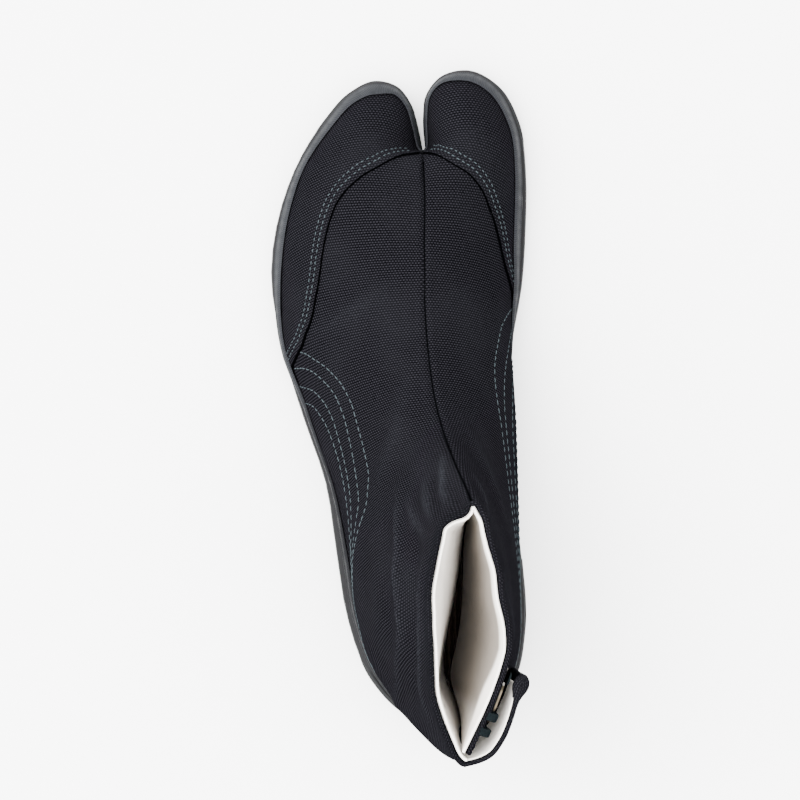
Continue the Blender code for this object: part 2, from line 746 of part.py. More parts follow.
# Cross-section of a bumper strip: level from the sole's under side (0) to its top (1), and share of depth
BumperCorner = namedtuple("BumperCorner", "level depth")
BUMPER_SHAPE = (
    BumperCorner(0.25, 1.0),
    BumperCorner(0.25, 0.3),
    BumperCorner(0.45, 0.0),
    BumperCorner(0.85, 0.0),
    BumperCorner(1.00, 0.5),
    BumperCorner(1.00, 1.0),
)
BUMPER_END = 3


def build_bumper(name, material):
    first, last = BUMPERS[name]
    start = EDGE.names[first] + BUMPER_END
    end = EDGE.names[last] - BUMPER_END
    stops = np.append(np.arange(start, end - 1, SAMPLES_PER_SPAN // 3), end)

    def build(bm):
        loops = []
        for corner in BUMPER_SHAPE:
            line = EDGE.inset(corner.depth * BUMPER)[stops]
            low = sole_height(line[:, 1], "under")
            high = sole_height(line[:, 1], "top")
            loops.append(with_height(line, low + (high - low) * corner.level))
        add_loops(bm, np.array(loops).transpose(1, 0, 2), False)

    return new_object(name, mesh_from(name, build), material)


# Foxing: height above the sole and thickness, from its foot to its top, with a step half way up
FoxingRow = namedtuple("FoxingRow", "height thickness")
FOXING_ROWS = (
    FoxingRow(0.0, 1.00),
    FoxingRow(4.4, 1.00),
    FoxingRow(5.0, 0.72),
    FoxingRow(FOXING_HEIGHT, 0.60),
)
FOXING_GAP = 0.5
# How far outside the sole edge the wall is looked for, except in the narrow split
RAY_START = 6.0
# How far below and above each of its rows the band also keeps clear of the round wall
FOXING_LOOKS = np.linspace(-3.0, 3.0, 13)


def wall_distance(walls, points, inward, reach):
    """How far inside the sole's edge the walls stand, seen level from each point."""
    distances = []
    for point, direction, step in zip(points, inward, reach):
        ray = Vector((direction[0], direction[1], 0.0))
        origin = Vector(point) * MM - ray * step * MM
        hits = [tree.ray_cast(origin, ray)[3] for tree in walls]
        distances.append(min(hit for hit in hits if hit is not None) / MM - step)
    near = np.array(distances)
    return np.min([np.roll(near, shift) for shift in range(-2, 3)], axis=0)


def build_foxing(walls, material):
    """Rubber band round the foot of the upper, as thick as its table says and clear of the wall behind."""
    inward = ring_inward()
    reach = RAY_START * (1 - on_ring(EDGE.split()))
    band = on_ring(EDGE.band())
    line = ring(0.0)
    foot = sole_height(line[:, 1], "top") + GAP
    outer = []
    inner = []
    for row in FOXING_ROWS:
        height = foot + row.height
        depths = []
        for look in FOXING_LOOKS:
            seen = with_height(line, np.maximum(height + look, feather_height(line[:, 1]) + GAP))
            depths.append(wall_distance(walls, seen, inward, reach))
        depth = np.min(depths, axis=0) - FOXING_GAP
        behind = with_height(line + inward * depth[:, None], height)
        front = with_height(line + inward * (depth - band * row.thickness)[:, None], height)
        inner.append(behind[EVERY_SECOND])
        outer.append(front[EVERY_SECOND])

    def build(bm):
        loops = np.array(outer + inner[::-1]).transpose(1, 0, 2)
        add_loops(bm, loops, True)

    return new_object("foxing", mesh_from("foxing", build), material)


def material_for(name, colour, roughness, metallic=0.0):
    material = bpy.data.materials.new(name)
    material.use_nodes = True
    shader = material.node_tree.nodes["Principled BSDF"]
    shader.inputs["Base Color"].default_value = (*colour, 1.0)
    shader.inputs["Roughness"].default_value = roughness
    shader.inputs["Metallic"].default_value = metallic
    return material


def main():
    for obj in list(bpy.data.objects):
        bpy.data.objects.remove(obj)
    collection = bpy.data.collections.new(COLLECTION)
    bpy.context.scene.collection.children.link(collection)
    canvas = material_for("canvas", (0.017, 0.017, 0.021), 0.9)
    black_rubber = material_for("black_rubber", (0.02, 0.02, 0.022), 0.55)
    grey_rubber = material_for("grey_rubber", (0.11, 0.12, 0.13), 0.6)
    cloth = material_for("insole_cloth", (0.045, 0.032, 0.024), 0.95)
    metal = material_for("clasp_metal", (0.6, 0.58, 0.52), 0.35, 1.0)
    covers = [
        build_upper(canvas),
        build_guard("toe_guard_outer", OUTER, canvas),
        build_guard("toe_guard_inner", INNER, canvas),
    ]
    build_flap(canvas)
    for number, row in enumerate(CLASP_ROWS, 1):
        build_clasp(f"clasp_{number}", row, metal)
    build_outsole(black_rubber)
    build_heel(black_rubber)
    for name in BUMPERS:
        build_bumper(name, black_rubber)
    build_insole(cloth)
    graph = bpy.context.evaluated_depsgraph_get()
    build_foxing([BVHTree.FromObject(cover, graph) for cover in covers], grey_rubber)
    for obj in collection.objects:
        obj.location.x -= CENTRE_X * MM


main()
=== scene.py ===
"""Looks of a split-toe canvas ankle shoe for the left foot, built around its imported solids.

Tables are in millimetres, in the frame of the solids' own tables: +Y to the toes, +X to the inner side of
the foot, +Z up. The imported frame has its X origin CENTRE_X further in.
"""

import math
from collections import namedtuple

import bmesh
import bpy
import numpy as np
from mathutils import Matrix, Vector
from mathutils.bvhtree import BVHTree


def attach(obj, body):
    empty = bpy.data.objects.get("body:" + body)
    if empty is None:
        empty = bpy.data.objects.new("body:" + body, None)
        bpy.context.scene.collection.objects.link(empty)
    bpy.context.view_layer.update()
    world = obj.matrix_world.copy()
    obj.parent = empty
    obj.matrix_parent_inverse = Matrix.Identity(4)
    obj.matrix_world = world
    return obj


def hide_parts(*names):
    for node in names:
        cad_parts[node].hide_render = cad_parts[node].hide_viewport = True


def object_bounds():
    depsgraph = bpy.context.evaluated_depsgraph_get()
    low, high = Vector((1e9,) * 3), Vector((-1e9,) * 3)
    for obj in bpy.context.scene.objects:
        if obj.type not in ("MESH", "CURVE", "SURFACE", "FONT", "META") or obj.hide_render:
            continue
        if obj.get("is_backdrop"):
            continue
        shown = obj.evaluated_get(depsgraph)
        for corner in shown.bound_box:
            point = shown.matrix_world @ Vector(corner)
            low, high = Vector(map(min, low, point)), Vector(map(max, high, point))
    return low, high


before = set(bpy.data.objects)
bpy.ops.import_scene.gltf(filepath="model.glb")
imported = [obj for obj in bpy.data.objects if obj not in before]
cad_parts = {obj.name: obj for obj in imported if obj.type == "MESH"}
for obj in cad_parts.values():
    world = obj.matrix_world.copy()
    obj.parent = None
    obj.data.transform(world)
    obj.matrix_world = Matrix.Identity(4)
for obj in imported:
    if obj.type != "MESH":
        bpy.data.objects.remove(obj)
cad_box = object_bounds()


def table(columns, *rows):
    """Rows of a table, whose columns have names."""
    row_type = namedtuple("Row", columns)
    return [row_type(*row) for row in rows]


def values_of(rows, name):
    """One column of a table."""
    return [getattr(row, name) for row in rows]


MM = 0.001
CENTRE_X = 0.4

# Sizes shared with the solids
GAP = 0.3
FEATHER_GAP = 0.7
TIP_RISE = 1.2
GUARD = 1.0
FLAP = 1.3
FLAP_GAP = 0.45
FLAP_SLACK = 3.0
FOXING = 1.5
LIP = 1.0
ROOT_RADIUS = 0.6
# Band and lip inside the toe split
SPLIT_BAND = 1.0
SPLIT_LIP = 0.2

# Sole edge seen from above, from the root of the toe split round the heel and back to the root
SOLE_EDGE = {
    "cleft_outer_root": (9.0, 102.0),
    "cleft_outer_mid": (7.4, 110.5),
    "cleft_outer_front": (4.8, 119.2),
    "small_toe_corner": (-0.6, 126.3),
    "small_toe_tip": (-9.5, 128.8),
    "small_toe_side": (-20.5, 124.0),
    "fourth_toe": (-30.0, 114.0),
    "fifth_toe": (-39.5, 100.0),
    "outer_ball_front": (-48.0, 79.5),
    "outer_ball": (-52.4, 52.0),
    "outer_ball_back": (-48.6, 25.0),
    "outer_waist_front": (-39.0, -7.0),
    "outer_waist": (-30.0, -33.0),
    "outer_heel_front": (-25.3, -62.0),
    "outer_heel": (-20.6, -89.0),
    "outer_heel_corner": (-11.0, -113.0),
    "heel_outer_back": (2.0, -126.0),
    "heel_rear": (18.5, -130.6),
    "heel_inner_back": (35.0, -126.0),
    "inner_heel_corner": (46.5, -112.0),
    "inner_heel": (50.6, -92.0),
    "inner_heel_front": (49.3, -64.0),
    "inner_waist": (45.4, -33.0),
    "inner_arch": (43.8, -4.0),
    "inner_waist_front": (45.2, 22.0),
    "inner_ball_back": (49.3, 46.0),
    "inner_ball": (50.9, 70.0),
    "inner_ball_front": (51.0, 92.0),
    "big_toe_side": (48.4, 111.6),
    "big_toe_corner": (40.2, 126.2),
    "big_toe_tip": (27.5, 132.8),
    "big_toe_inner": (16.5, 130.2),
    "cleft_inner_front": (10.7, 123.0),
    "cleft_inner_mid": (9.4, 112.5),
    "cleft_inner_root": (10.2, 102.0),
}
SAMPLES_PER_SPAN = 24

# Height of the outsole's under side and top along the shoe
SOLE_PROFILE = table(
    "y under top",
    (-131.0, 6.3, 11.6),
    (-100.0, 6.3, 11.4),
    (-62.0, 6.3, 11.2),
    (-30.0, 4.0, 9.2),
    (5.0, 1.3, 6.9),
    (35.0, 0.0, 5.6),
    (75.0, 0.0, 5.4),
    (105.0, 1.8, 7.0),
    (133.0, 7.0, 11.6),
)

# Ridge of the instep, where the two canvas panels are sewn together, from the toe split to the collar:
# x, y and z
RIDGE = (
    (10.4, 98.0, 31.0),
    (11.2, 80.0, 40.5),
    (11.4, 58.0, 48.0),
    (12.0, 35.0, 55.5),
    (13.6, 17.0, 62.5),
    (16.0, 2.0, 71.0),
    (19.3, -10.0, 82.0),
    (23.0, -19.5, 95.0),
    (27.0, -28.0, 109.5),
    (31.2, -37.3, 127.0),
)
# Line up the back of the heel, from just above the sole to the collar: x, y and z
BACK = (
    (19.0, -130.0, 36.0),
    (21.0, -129.5, 64.0),
    (24.5, -130.5, 95.0),
    (29.0, -133.0, 124.0),
)

# Sections of the upper, as in its solid: place along sole edge and seam, fullness, lean, girth and width
SECTIONS = table(
    "name edge seam power lean outer_girth inner_girth outer_wide inner_wide crown outer_top inner_top",
    ("tip", 0.000, 0.00, 2.0, 0, 0.0, 0.0, -5.0, 26.0, 0.50, 11.9, 12.6),
    ("toe_front", 0.022, 0.20, 2.0, 0, 0.5, 0.5, -10.0, 33.0, 0.50, 18.0, 19.5),
    ("toe_middle", 0.055, 0.48, 2.0, 0, 0.5, 0.5, -16.0, 38.0, 0.50, 23.5, 26.0),
    ("toe_back", 0.095, 0.76, 1.9, 0, 0.5, 0.5, -22.0, 41.0, 0.48, 28.0, 31.5),
    ("root_low", 0.138, 1.00, 1.9, 0, 0.5, 0.5, -29.0, 43.0, 0.44, 31.5, 35.5),
    ("root_high", 0.178, 1.12, 1.8, 0, 0.5, 0.5, -35.0, 44.5, 0.36, 35.0, 38.0),
    ("ball_front", 0.235, 1.22, 1.75, 0, 0.5, 0.5, -42.0, 45.5, 0.18, 41.3, 42.2),
    ("ball", 0.310, 1.33, 1.7, 0, 1.0, 2.0, -47.5, 46.0, 0.00, 47.0, 47.0),
    ("vamp", 0.410, 1.455, 1.7, 0, 4.0, 12.0, -45.9, 45.0, 0.00, 51.0, 51.0),
    ("waist", 0.510, 1.557, 1.7, 0, 8.0, 19.0, -36.4, 46.6, 0.00, 51.0, 51.0),
    ("instep", 0.620, 1.640, 1.75, 0, 13.0, 22.0, -27.4, 47.6, 0.00, 51.0, 51.0),
    ("heel_front", 0.750, 1.700, 1.8, 10, 21.0, 25.0, -21.4, 48.4, 0.00, 51.0, 51.0),
    ("heel_side", 0.880, 1.745, 1.9, 28, 34.0, 34.0, -19.2, 48.9, 0.00, 51.0, 51.0),
    ("heel_low", 1.000, 1.775, 1.9, 55, 48.0, 48.0, -17.0, 48.8, 0.00, 51.0, 51.0),
    ("heel_high", 1.210, 1.825, 1.85, 80, 50.0, 50.0, -11.0, 48.0, 0.00, 51.0, 51.0),
    ("ankle", 1.460, 1.880, 1.75, 90, 50.0, 50.0, -4.0, 47.0, 0.00, 51.0, 51.0),
    ("shaft", 1.740, 1.938, 1.6, 90, 50.0, 50.0, 5.0, 45.8, 0.00, 51.0, 51.0),
    ("collar", 2.000, 2.000, 1.5, 90, 50.0, 50.0, 13.5, 45.0, 0.00, 51.0, 51.0),
)
COLLAR = len(SECTIONS) - 1
OUTER = -1
INNER = 1
# Stretches along the shoe where the upper's foot rises at the toe tips, and where the guards begin
TOE_TIPS = (110.0, 124.0)
GUARDS_BEGIN = {OUTER: (-2.0, 8.0), INNER: (22.0, 32.0)}
# Bulge of the toes into the split, its most as a share of the room, and the drop over which it grows
CLEFT_BULGE = 1.6
BULGE_ROOM = 0.4
BULGE_DROP = 20.0
# Most of a section's height that lies under its widest place
GIRTH_MOST = 0.6
SECTION_STEPS = 25
ROWS_FINE = 12
SHARES_FINE = 160

# Soft folds of the canvas: a line over rows and shares of a panel, its half width and its height
FOLDS = table(
    "side line width height",
    # crease round the outer side of the shaft, with the hollow under it
    (
        OUTER, ((13.6, 0.85), (14.6, 0.77), (15.5, 0.64), (15.9, 0.46), (15.5, 0.30), (14.5, 0.15)), 2.9, 2.7
    ),
    (OUTER, ((13.8, 0.74), (14.8, 0.60), (15.2, 0.43), (14.6, 0.26)), 7.5, -3.0),
    # fullness at the back of the shaft
    (OUTER, ((16.6, 0.02), (15.9, 0.07), (15.1, 0.13), (14.4, 0.20)), 11.0, 3.2),
    # roll under the collar, with the hollow under it
    (OUTER, ((16.55, 0.76), (16.65, 0.52), (16.55, 0.30), (16.4, 0.12)), 2.2, 1.3),
    (OUTER, ((15.6, 0.78), (16.2, 0.66), (16.3, 0.48), (16.05, 0.28), (15.6, 0.16)), 3.6, -2.4),
    # pleats that fan out from the front of the collar
    (OUTER, ((16.8, 0.93), (15.8, 0.93), (14.7, 0.96), (13.6, 0.985)), 2.0, 1.1),
    (OUTER, ((16.6, 0.86), (15.6, 0.87), (14.4, 0.91)), 2.4, 1.1),
    (OUTER, ((16.6, 0.895), (15.6, 0.90), (14.6, 0.935)), 2.0, -1.0),
    (OUTER, ((16.7, 0.80), (15.6, 0.80), (14.3, 0.84)), 3.0, 1.0),
    # soft roll across the outer side of the vamp
    (OUTER, ((8.25, 0.30), (8.1, 0.50), (7.9, 0.68), (7.7, 0.84)), 5.0, 0.9),
    # ridge from the instep down to the outer ankle, and the flats beside it
    (OUTER, ((8.7, 0.95), (10.1, 0.86), (11.5, 0.79), (12.4, 0.70)), 6.0, 1.2),
    (OUTER, ((11.0, 0.92), (12.2, 0.88), (13.4, 0.83)), 7.0, -1.0),
    (OUTER, ((12.0, 0.62), (13.0, 0.58), (13.8, 0.50)), 8.0, 1.2),
    # hollow over the outer side of the heel, where the sole's edge shows
    (OUTER, ((9.8, 0.16), (11.2, 0.20), (12.4, 0.24), (13.2, 0.20), (14.0, 0.12)), 14.0, -3.8),
    # inner side
    (INNER, ((10.6, 0.96), (11.6, 0.86), (12.6, 0.74), (13.2, 0.60)), 5.0, 1.0),
    (INNER, ((12.0, 0.94), (13.0, 0.86), (13.9, 0.72)), 5.0, -1.0),
    (INNER, ((16.6, 0.90), (15.6, 0.90), (14.4, 0.95)), 2.4, 0.9),
    (INNER, ((16.5, 0.75), (16.55, 0.55), (16.4, 0.42)), 2.0, 0.7),
    (INNER, ((15.4, 0.80), (15.7, 0.60), (15.2, 0.45)), 5.0, -1.2),
)
# How far the collar stands out of, or falls into, its smooth line
RIM = table(
    "share outer inner",
    (0.00, 0.3, 0.3),
    (0.05, 0.8, 0.8),
    (0.10, 0.6, 1.4),
    (0.20, 0.8, 2.3),
    (0.28, 0.8, 2.5),
    (0.36, -0.6, 2.4),
    (0.45, -1.8, 1.6),
    (0.55, -1.5, 0.6),
    (0.64, 0.4, -0.4),
    (0.74, 1.6, 0.4),
    (0.82, 3.0, 0.2),
    (0.88, 4.2, 0.8),
    (0.92, 2.0, 1.6),
    (0.955, -1.0, 1.6),
    (1.00, 1.4, 1.4),
)


def interpolate(knots, values, at):
    """Smooth cubic values at the given places, through values that belong to rising knots."""
    knots = np.asarray(knots, float)
    values = np.asarray(values, float)
    at = np.clip(np.asarray(at, float), knots[0], knots[-1])
    slopes = np.gradient(values, knots, axis=0)
    low = np.clip(np.searchsorted(knots, at, side="right") - 1, 0, len(knots) - 2)
    span = knots[low + 1] - knots[low]
    t = (at - knots[low]) / span
    if values.ndim == 2:
        t = t[:, None]
        span = span[:, None]
    start = (1 + 2 * t) * (1 - t) ** 2 * values[low] + t * (1 - t) ** 2 * span * slopes[low]
    end = t * t * (3 - 2 * t) * values[low + 1] + t * t * (t - 1) * span * slopes[low + 1]
    return start + end


def read(rows, key, name, at):
    """Smooth values of one column of a table, at places on its key column."""
    return interpolate(values_of(rows, key), values_of(rows, name), at)


def lengths_along(points):
    steps = np.linalg.norm(np.diff(points, axis=0), axis=1)
    return np.concatenate([[0.0], np.cumsum(steps)])


def curve_through(points, per_span):
    """Dense points on a smooth curve through the given ones, with per_span steps between neighbours."""
    points = np.asarray(points, float)
    knots = lengths_along(points)
    count = np.arange((len(points) - 1) * per_span + 1)
    return interpolate(knots, points, np.interp(count / per_span, np.arange(len(points)), knots))


def along(points, shares):
    """Points at the given shares of a curve's length."""
    lengths = lengths_along(points)
    places = np.clip(shares, 0.0, 1.0) * lengths[-1]
    return np.stack([np.interp(places, lengths, points[:, axis]) for axis in range(points.shape[1])], axis=1)


def ramp(value, low, high):
    """0 below low, 1 above high, smooth between."""
    t = np.clip((np.asarray(value, float) - low) / (high - low), 0.0, 1.0)
    return t * t * (3 - 2 * t)


def unit(vectors):
    """Vectors of length 1, along the last axis."""
    return vectors / np.maximum(np.linalg.norm(vectors, axis=-1, keepdims=True), 1e-9)


def sole_height(y, which):
    """Height of the outsole's under side or top at y, never below the floor."""
    return np.maximum(read(SOLE_PROFILE, "y", which, y), 0.0)


def feather_height(y):
    """Height at which the upper starts, higher at the toe tips, where its wall lies flatter."""
    return sole_height(y, "top") + FEATHER_GAP + TIP_RISE * ramp(y, *TOE_TIPS)


class SoleEdge:
    """The sole's edge as a dense curve with its inward normals, and insets of it with a round root."""

    def __init__(self):
        self.curve = curve_through(list(SOLE_EDGE.values()), SAMPLES_PER_SPAN)
        self.names = {name: row * SAMPLES_PER_SPAN for row, name in enumerate(SOLE_EDGE)}
        run = unit(np.gradient(self.curve, axis=0))
        self.inward = np.stack([-run[:, 1], run[:, 0]], axis=1)
        self.root = (self.curve[0] + self.curve[-1]) / 2

    def split(self):
        """1 inside the toe split and 0 outside it, along the curve."""
        index = np.arange(len(self.curve))
        outer = 1 - ramp(index, self.names["cleft_outer_front"], self.names["small_toe_tip"])
        inner = ramp(index, self.names["big_toe_tip"], self.names["cleft_inner_front"])
        return np.maximum(outer, inner)

    def toes(self):
        """1 where the toe guards lie and 0 behind them, along the curve."""
        x, y = self.curve.T
        return np.where(x < self.root[0], ramp(y, *GUARDS_BEGIN[OUTER]), ramp(y, *GUARDS_BEGIN[INNER]))

    def band(self):
        """Thickness of the rubber band along the curve."""
        return FOXING + (SPLIT_BAND - FOXING) * self.split()

    def upper_inset(self):
        """How far in the upper stands along the curve."""
        lip = LIP + (SPLIT_LIP - LIP) * self.split()
        return lip + self.band() + GAP + self.toes()

    def inset(self, amount):
        return self.curve + self.inward * np.broadcast_to(amount, len(self.curve))[:, None]

    def root_arc(self, amount, steps):
        """Round end of the toe split after an inset, from its outer to its inner side."""
        radius = ROOT_RADIUS + amount
        angles = np.linspace(math.pi, 2 * math.pi, steps + 1)
        return self.root + radius * np.stack([np.cos(angles), np.sin(angles)], axis=1)


EDGE = SoleEdge()


def with_height(points, heights):
    return np.column_stack([points, heights])


def base_rail(side):
    """Line where the wall starts: the upper's sole edge from toe tip to heel, and the back of the heel."""
    line = EDGE.inset(EDGE.upper_inset())
    if side == OUTER:
        line = line[EDGE.names["small_toe_tip"]:EDGE.names["heel_rear"] + 1]
    else:
        line = line[EDGE.names["heel_rear"]:EDGE.names["big_toe_tip"] + 1][::-1]
    edge = with_height(line, feather_height(line[:, 1]))
    back = curve_through(np.vstack([edge[-1:], BACK]), SAMPLES_PER_SPAN)
    return edge, back


def seam_rail(side):
    """Line where the wall ends: the toe split from tip to root, and up the root and along the ridge."""
    inset = EDGE.upper_inset()
    line = EDGE.inset(inset)
    arc = EDGE.root_arc(inset[0], SAMPLES_PER_SPAN)
    half = SAMPLES_PER_SPAN // 2
    if side == OUTER:
        line = np.vstack([line[:EDGE.names["small_toe_tip"] + 1][::-1], arc[1:half + 1]])
    else:
        line = np.vstack([line[EDGE.names["big_toe_tip"]:], arc[::-1][1:half + 1]])
    split = with_height(line, feather_height(line[:, 1]))
    ridge = curve_through(RIDGE, SAMPLES_PER_SPAN)
    return split, np.vstack([split[-1:], ridge])


def on_rail(rail, places):
    """Points on the two parts of a rail: the first from 0 to 1, the second from 1 to 2."""
    first, second = rail
    near = along(first, places)
    far = along(second, places - 1.0)
    return np.where(places[:, None] <= 1.0, near, far)


def edge_direction(side, places):
    """Unit vectors along the sole edge towards the toe tip, and sideways up the back of the heel."""
    edge, _ = base_rail(side)
    ahead = along(edge, places - 0.01) - along(edge, places)
    ahead[:, 2] = 0.0
    ahead[places > 1.0] = (side, 0.0, 0.0)
    return unit(ahead)


def section_column(name, rows):
    return interpolate(range(len(SECTIONS)), values_of(SECTIONS, name), rows)


def bezier(start, start_handle, end_handle, end, t):
    t = t[:, None]
    near = (1 - t) ** 3 * start + 3 * t * (1 - t) ** 2 * start_handle
    far = 3 * t * t * (1 - t) * end_handle + t ** 3 * end
    return near + far


def section_curve(side, base, forward, seam, girth, power, lean, wide, crown_share, top):
    """Dense curve of one section: from the base out to the girth, over the crown and on to the seam."""
    crown = seam + crown_share * (base - seam)
    crown[2] = max(seam[2], top)
    foot = np.array([crown[0], base[1], base[2]])
    height = np.linalg.norm(crown - foot)
    up = (crown - foot) / max(height, 1e-6)
    girth = min(girth, GIRTH_MOST * height)
    widest = foot + girth * up
    widest[0] = base[0] + side * max(0.0, side * (wide - base[0]))
    angle = math.radians(lean)
    leave = math.sin(angle) * forward + math.cos(angle) * np.array([0.0, 0.0, 1.0])
    handle = (2 ** (-1 / power) - 0.5) / 0.375
    leave_handle = base + handle * abs(np.dot(widest - base, leave)) * leave
    reach_handle = widest - handle * abs(np.dot(widest - base, up)) * up
    steps = np.linspace(0.0, 1.0, SECTION_STEPS)
    low = bezier(base, leave_handle, reach_handle, widest, steps)
    sines = np.sin(steps * math.pi / 2)
    cosines = np.cos(steps * math.pi / 2)
    high = widest + np.outer((height - girth) * sines ** (2 / power), up)
    high[:, 0] = crown[0] + (widest[0] - crown[0]) * np.abs(cosines) ** (2 / power)
    over = crown + np.outer(sines, seam - crown)
    over[:, 2] = crown[2] + (seam[2] - crown[2]) * (1 - cosines)
    bulge = min(CLEFT_BULGE, BULGE_ROOM * abs(seam[0] - EDGE.root[0]))
    bulge *= ramp(crown[2] - seam[2], 0.0, BULGE_DROP)
    over[:, 0] -= side * bulge * np.sin(steps * math.pi) * cosines
    return np.vstack([low, high[1:], over[1:]])


SMOOTH_PASSES = 10
# Where the inner panel steps in under the flap, and where it falls slack, by shares and rows
STEP_BACK = (0.0, 0.03)
STEP_FRONT = (0.05, 0.30)
STEP_ROWS = (13.6, 14.4)
SLACK_FRONT = 0.45
SLACK_ROWS = (14.5, 17.0)
# Row where the wavy rim begins, how quickly folds rise at their ends, and the widest fold whose ridge is
# fully paler, partly rubbed and partly a painted highlight
RIM_BEGINS = 14.6
FOLD_ENDS = 0.6
PALE_RIDGE_WIDTH = 2.2
# Seam on the ridge: rows where it begins, its groove, and how dark and wide its line of painted shade is
SEAM_BEGINS = (4.4, 5.2)
SEAM_DEPTH = 0.55
SEAM_HALF = 0.8
SEAM_SHADE = 1.2
SEAM_LINE = 0.42
# Swelling beside the seam: its share of the groove's depth, its distance and its half width
WELT_SHARE = 0.6
WELT_AT = 2.4
WELT_HALF = 1.3
# Keeps the last place on a grid inside its last cell
NUDGE = 0.000001


def side_name(side):
    return "outer" if side == OUTER else "inner"


def pick(field, rows, shares, row_steps, share_steps):
    """Values of a field on a fine grid at rows and shares, between its points."""
    r = np.clip(np.asarray(rows, float) * row_steps, 0, len(field) - 1 - NUDGE)
    s = np.clip(np.asarray(shares, float) * share_steps, 0, share_steps - NUDGE)
    i = r.astype(int)
    j = s.astype(int)
    a = r - i
    b = s - j
    if field.ndim == 3:
        a = a[..., None]
        b = b[..., None]
    near = field[i, j] * (1 - b) + field[i, j + 1] * b
    far = field[i + 1, j] * (1 - b) + field[i + 1, j + 1] * b
    return near * (1 - a) + far * a


class Panel:
    """One canvas panel of the upper as a fine grid: rows follow sections, shares go from base to seam."""

    def __init__(self, side):
        self.side = side
        self.rows = np.linspace(0, COLLAR, COLLAR * ROWS_FINE + 1)
        self.shares = np.linspace(0.0, 1.0, SHARES_FINE + 1)
        self.grid_rows, self.grid_shares = np.meshgrid(self.rows, self.shares, indexing="ij")
        which = side_name(side)
        places = section_column("edge", self.rows)
        base = on_rail(base_rail(side), places)
        forward = edge_direction(side, places)
        seam = on_rail(seam_rail(side), section_column("seam", self.rows))
        names = (which + "_girth", "power", "lean", which + "_wide", "crown", which + "_top")
        shapes = np.array([section_column(name, self.rows) for name in names]).T
        grid = []
        for row in range(len(self.rows)):
            curve = section_curve(side, base[row], forward[row], seam[row], *shapes[row])
            grid.append(along(curve, self.shares))
        self.points = np.array(grid)
        self.smooth(SMOOTH_PASSES)
        self.normals = self.find_normals()
        if side == INNER:
            self.make_room_for_flap()
        self.wear = np.zeros(self.points.shape[:2])
        self.fold()

    def smooth(self, passes):
        """Evens the grid out along the rows, with its borders held."""
        for _ in range(passes):
            middle = self.points[1:-1, 1:-1]
            sides = self.points[:-2, 1:-1] + self.points[2:, 1:-1]
            self.points[1:-1, 1:-1] = middle / 2 + sides / 4

    def find_normals(self):
        across = np.gradient(self.points, axis=1)
        down = np.gradient(self.points, axis=0)
        normals = unit(np.cross(across, down) * self.side)
        normals[0] = normals[1]
        return normals

    def push(self, height):
        self.points = self.points + self.normals * height[..., None]
        self.normals = self.find_normals()

    def make_room_for_flap(self):
        """Lets the panel step in at the back, by the flap's thickness, and fall flat at the collar."""
        rows, shares = self.grid_rows, self.grid_shares
        step = ramp(shares, *STEP_BACK) * (1 - ramp(shares, *STEP_FRONT)) * ramp(rows, *STEP_ROWS)
        slack = np.sin(math.pi * np.clip(shares / SLACK_FRONT, 0.0, 1.0)) * ramp(rows, *SLACK_ROWS)
        self.push(-(FLAP + FLAP_GAP) * step - FLAP_SLACK * slack)

    def fold(self):
        """Presses folds, the wavy rim and the groove of the seam into the panel."""
        rim = read(RIM, "share", side_name(self.side), self.shares)
        height = rim[None, :] * ramp(self.grid_rows, RIM_BEGINS, COLLAR)
        for fold in FOLDS:
            if fold.side == self.side:
                line = curve_through(fold.line, 20)
                path = self.at(line[:, 0], line[:, 1])
                fade = np.sin(np.linspace(0.0, math.pi, len(path))) ** FOLD_ENDS
                gaps = np.linalg.norm(self.points[:, :, None, :] - path, axis=3)
                nearest = np.argmin(gaps, axis=2)
                swell = fade[nearest] * np.exp(-(gaps.min(axis=2) / fold.width) ** 2)
                height += fold.height * swell
                if fold.height > 0:
                    # Raised fold ridges get paler: partly rubbed and dusty, partly a painted highlight
                    self.wear = np.maximum(self.wear, swell * min(1.0, PALE_RIDGE_WIDTH / fold.width))
        steps = np.linalg.norm(np.diff(self.points, axis=1), axis=2)
        to_seam = np.cumsum(np.pad(steps, ((0, 0), (0, 1)))[:, ::-1], axis=1)[:, ::-1]
        begun = ramp(self.grid_rows, *SEAM_BEGINS)
        welt = WELT_SHARE * np.exp(-((to_seam - WELT_AT) / WELT_HALF) ** 2)
        height -= SEAM_DEPTH * (np.exp(-(to_seam / SEAM_HALF) ** 2) - welt) * begun
        # Painted shade along the seam's line
        self.wear -= SEAM_SHADE * np.exp(-(to_seam / SEAM_LINE) ** 2) * begun
        self.push(height)

    def at(self, rows, shares, lift=0.0):
        """Points of the panel at rows and shares, arrays of one shape, lifted off along its normals."""
        points = self.pick(self.points, rows, shares)
        normals = self.pick(self.normals, rows, shares)
        return points + normals * np.asarray(lift, float)[..., None]

    def pick(self, field, rows, shares):
        """Values of a field on the panel's grid at rows and shares."""
        return pick(field, rows, shares, ROWS_FINE, SHARES_FINE)


PANELS = {OUTER: Panel(OUTER), INNER: Panel(INNER)}


def sew_panels_together():
    """Brings both panels to one line along the seam and up the back of the heel."""
    outer, inner = PANELS[OUTER].points, PANELS[INNER].points
    behind_toes = 5 * ROWS_FINE
    heel = 13 * ROWS_FINE
    for rows, end in ((slice(behind_toes, None), -1), (slice(heel, None), 0)):
        line = (outer[rows, end] + inner[rows, end]) / 2
        outer[rows, end] = line
        inner[rows, end] = line


sew_panels_together()


def metres(points):
    return (np.asarray(points) - (CENTRE_X, 0.0, 0.0)) * MM


# Meshes from grids

# Tone per point: colour shares and rubbing, with painted highlight and shade
Grid = namedtuple("Grid", "points cloth wear flip")
# Distances within which the points of cloth, and of rubber, are joined; 0 leaves them apart
CLOTH_WELD = 0.01
RUBBER_WELD = 0.001
NO_WELD = 0.0


def corner_verts(mesh):
    """Index of the vertex at each corner of a mesh's faces."""
    corners = np.zeros(len(mesh.loops), int)
    mesh.loops.foreach_get("vertex_index", corners)
    return corners


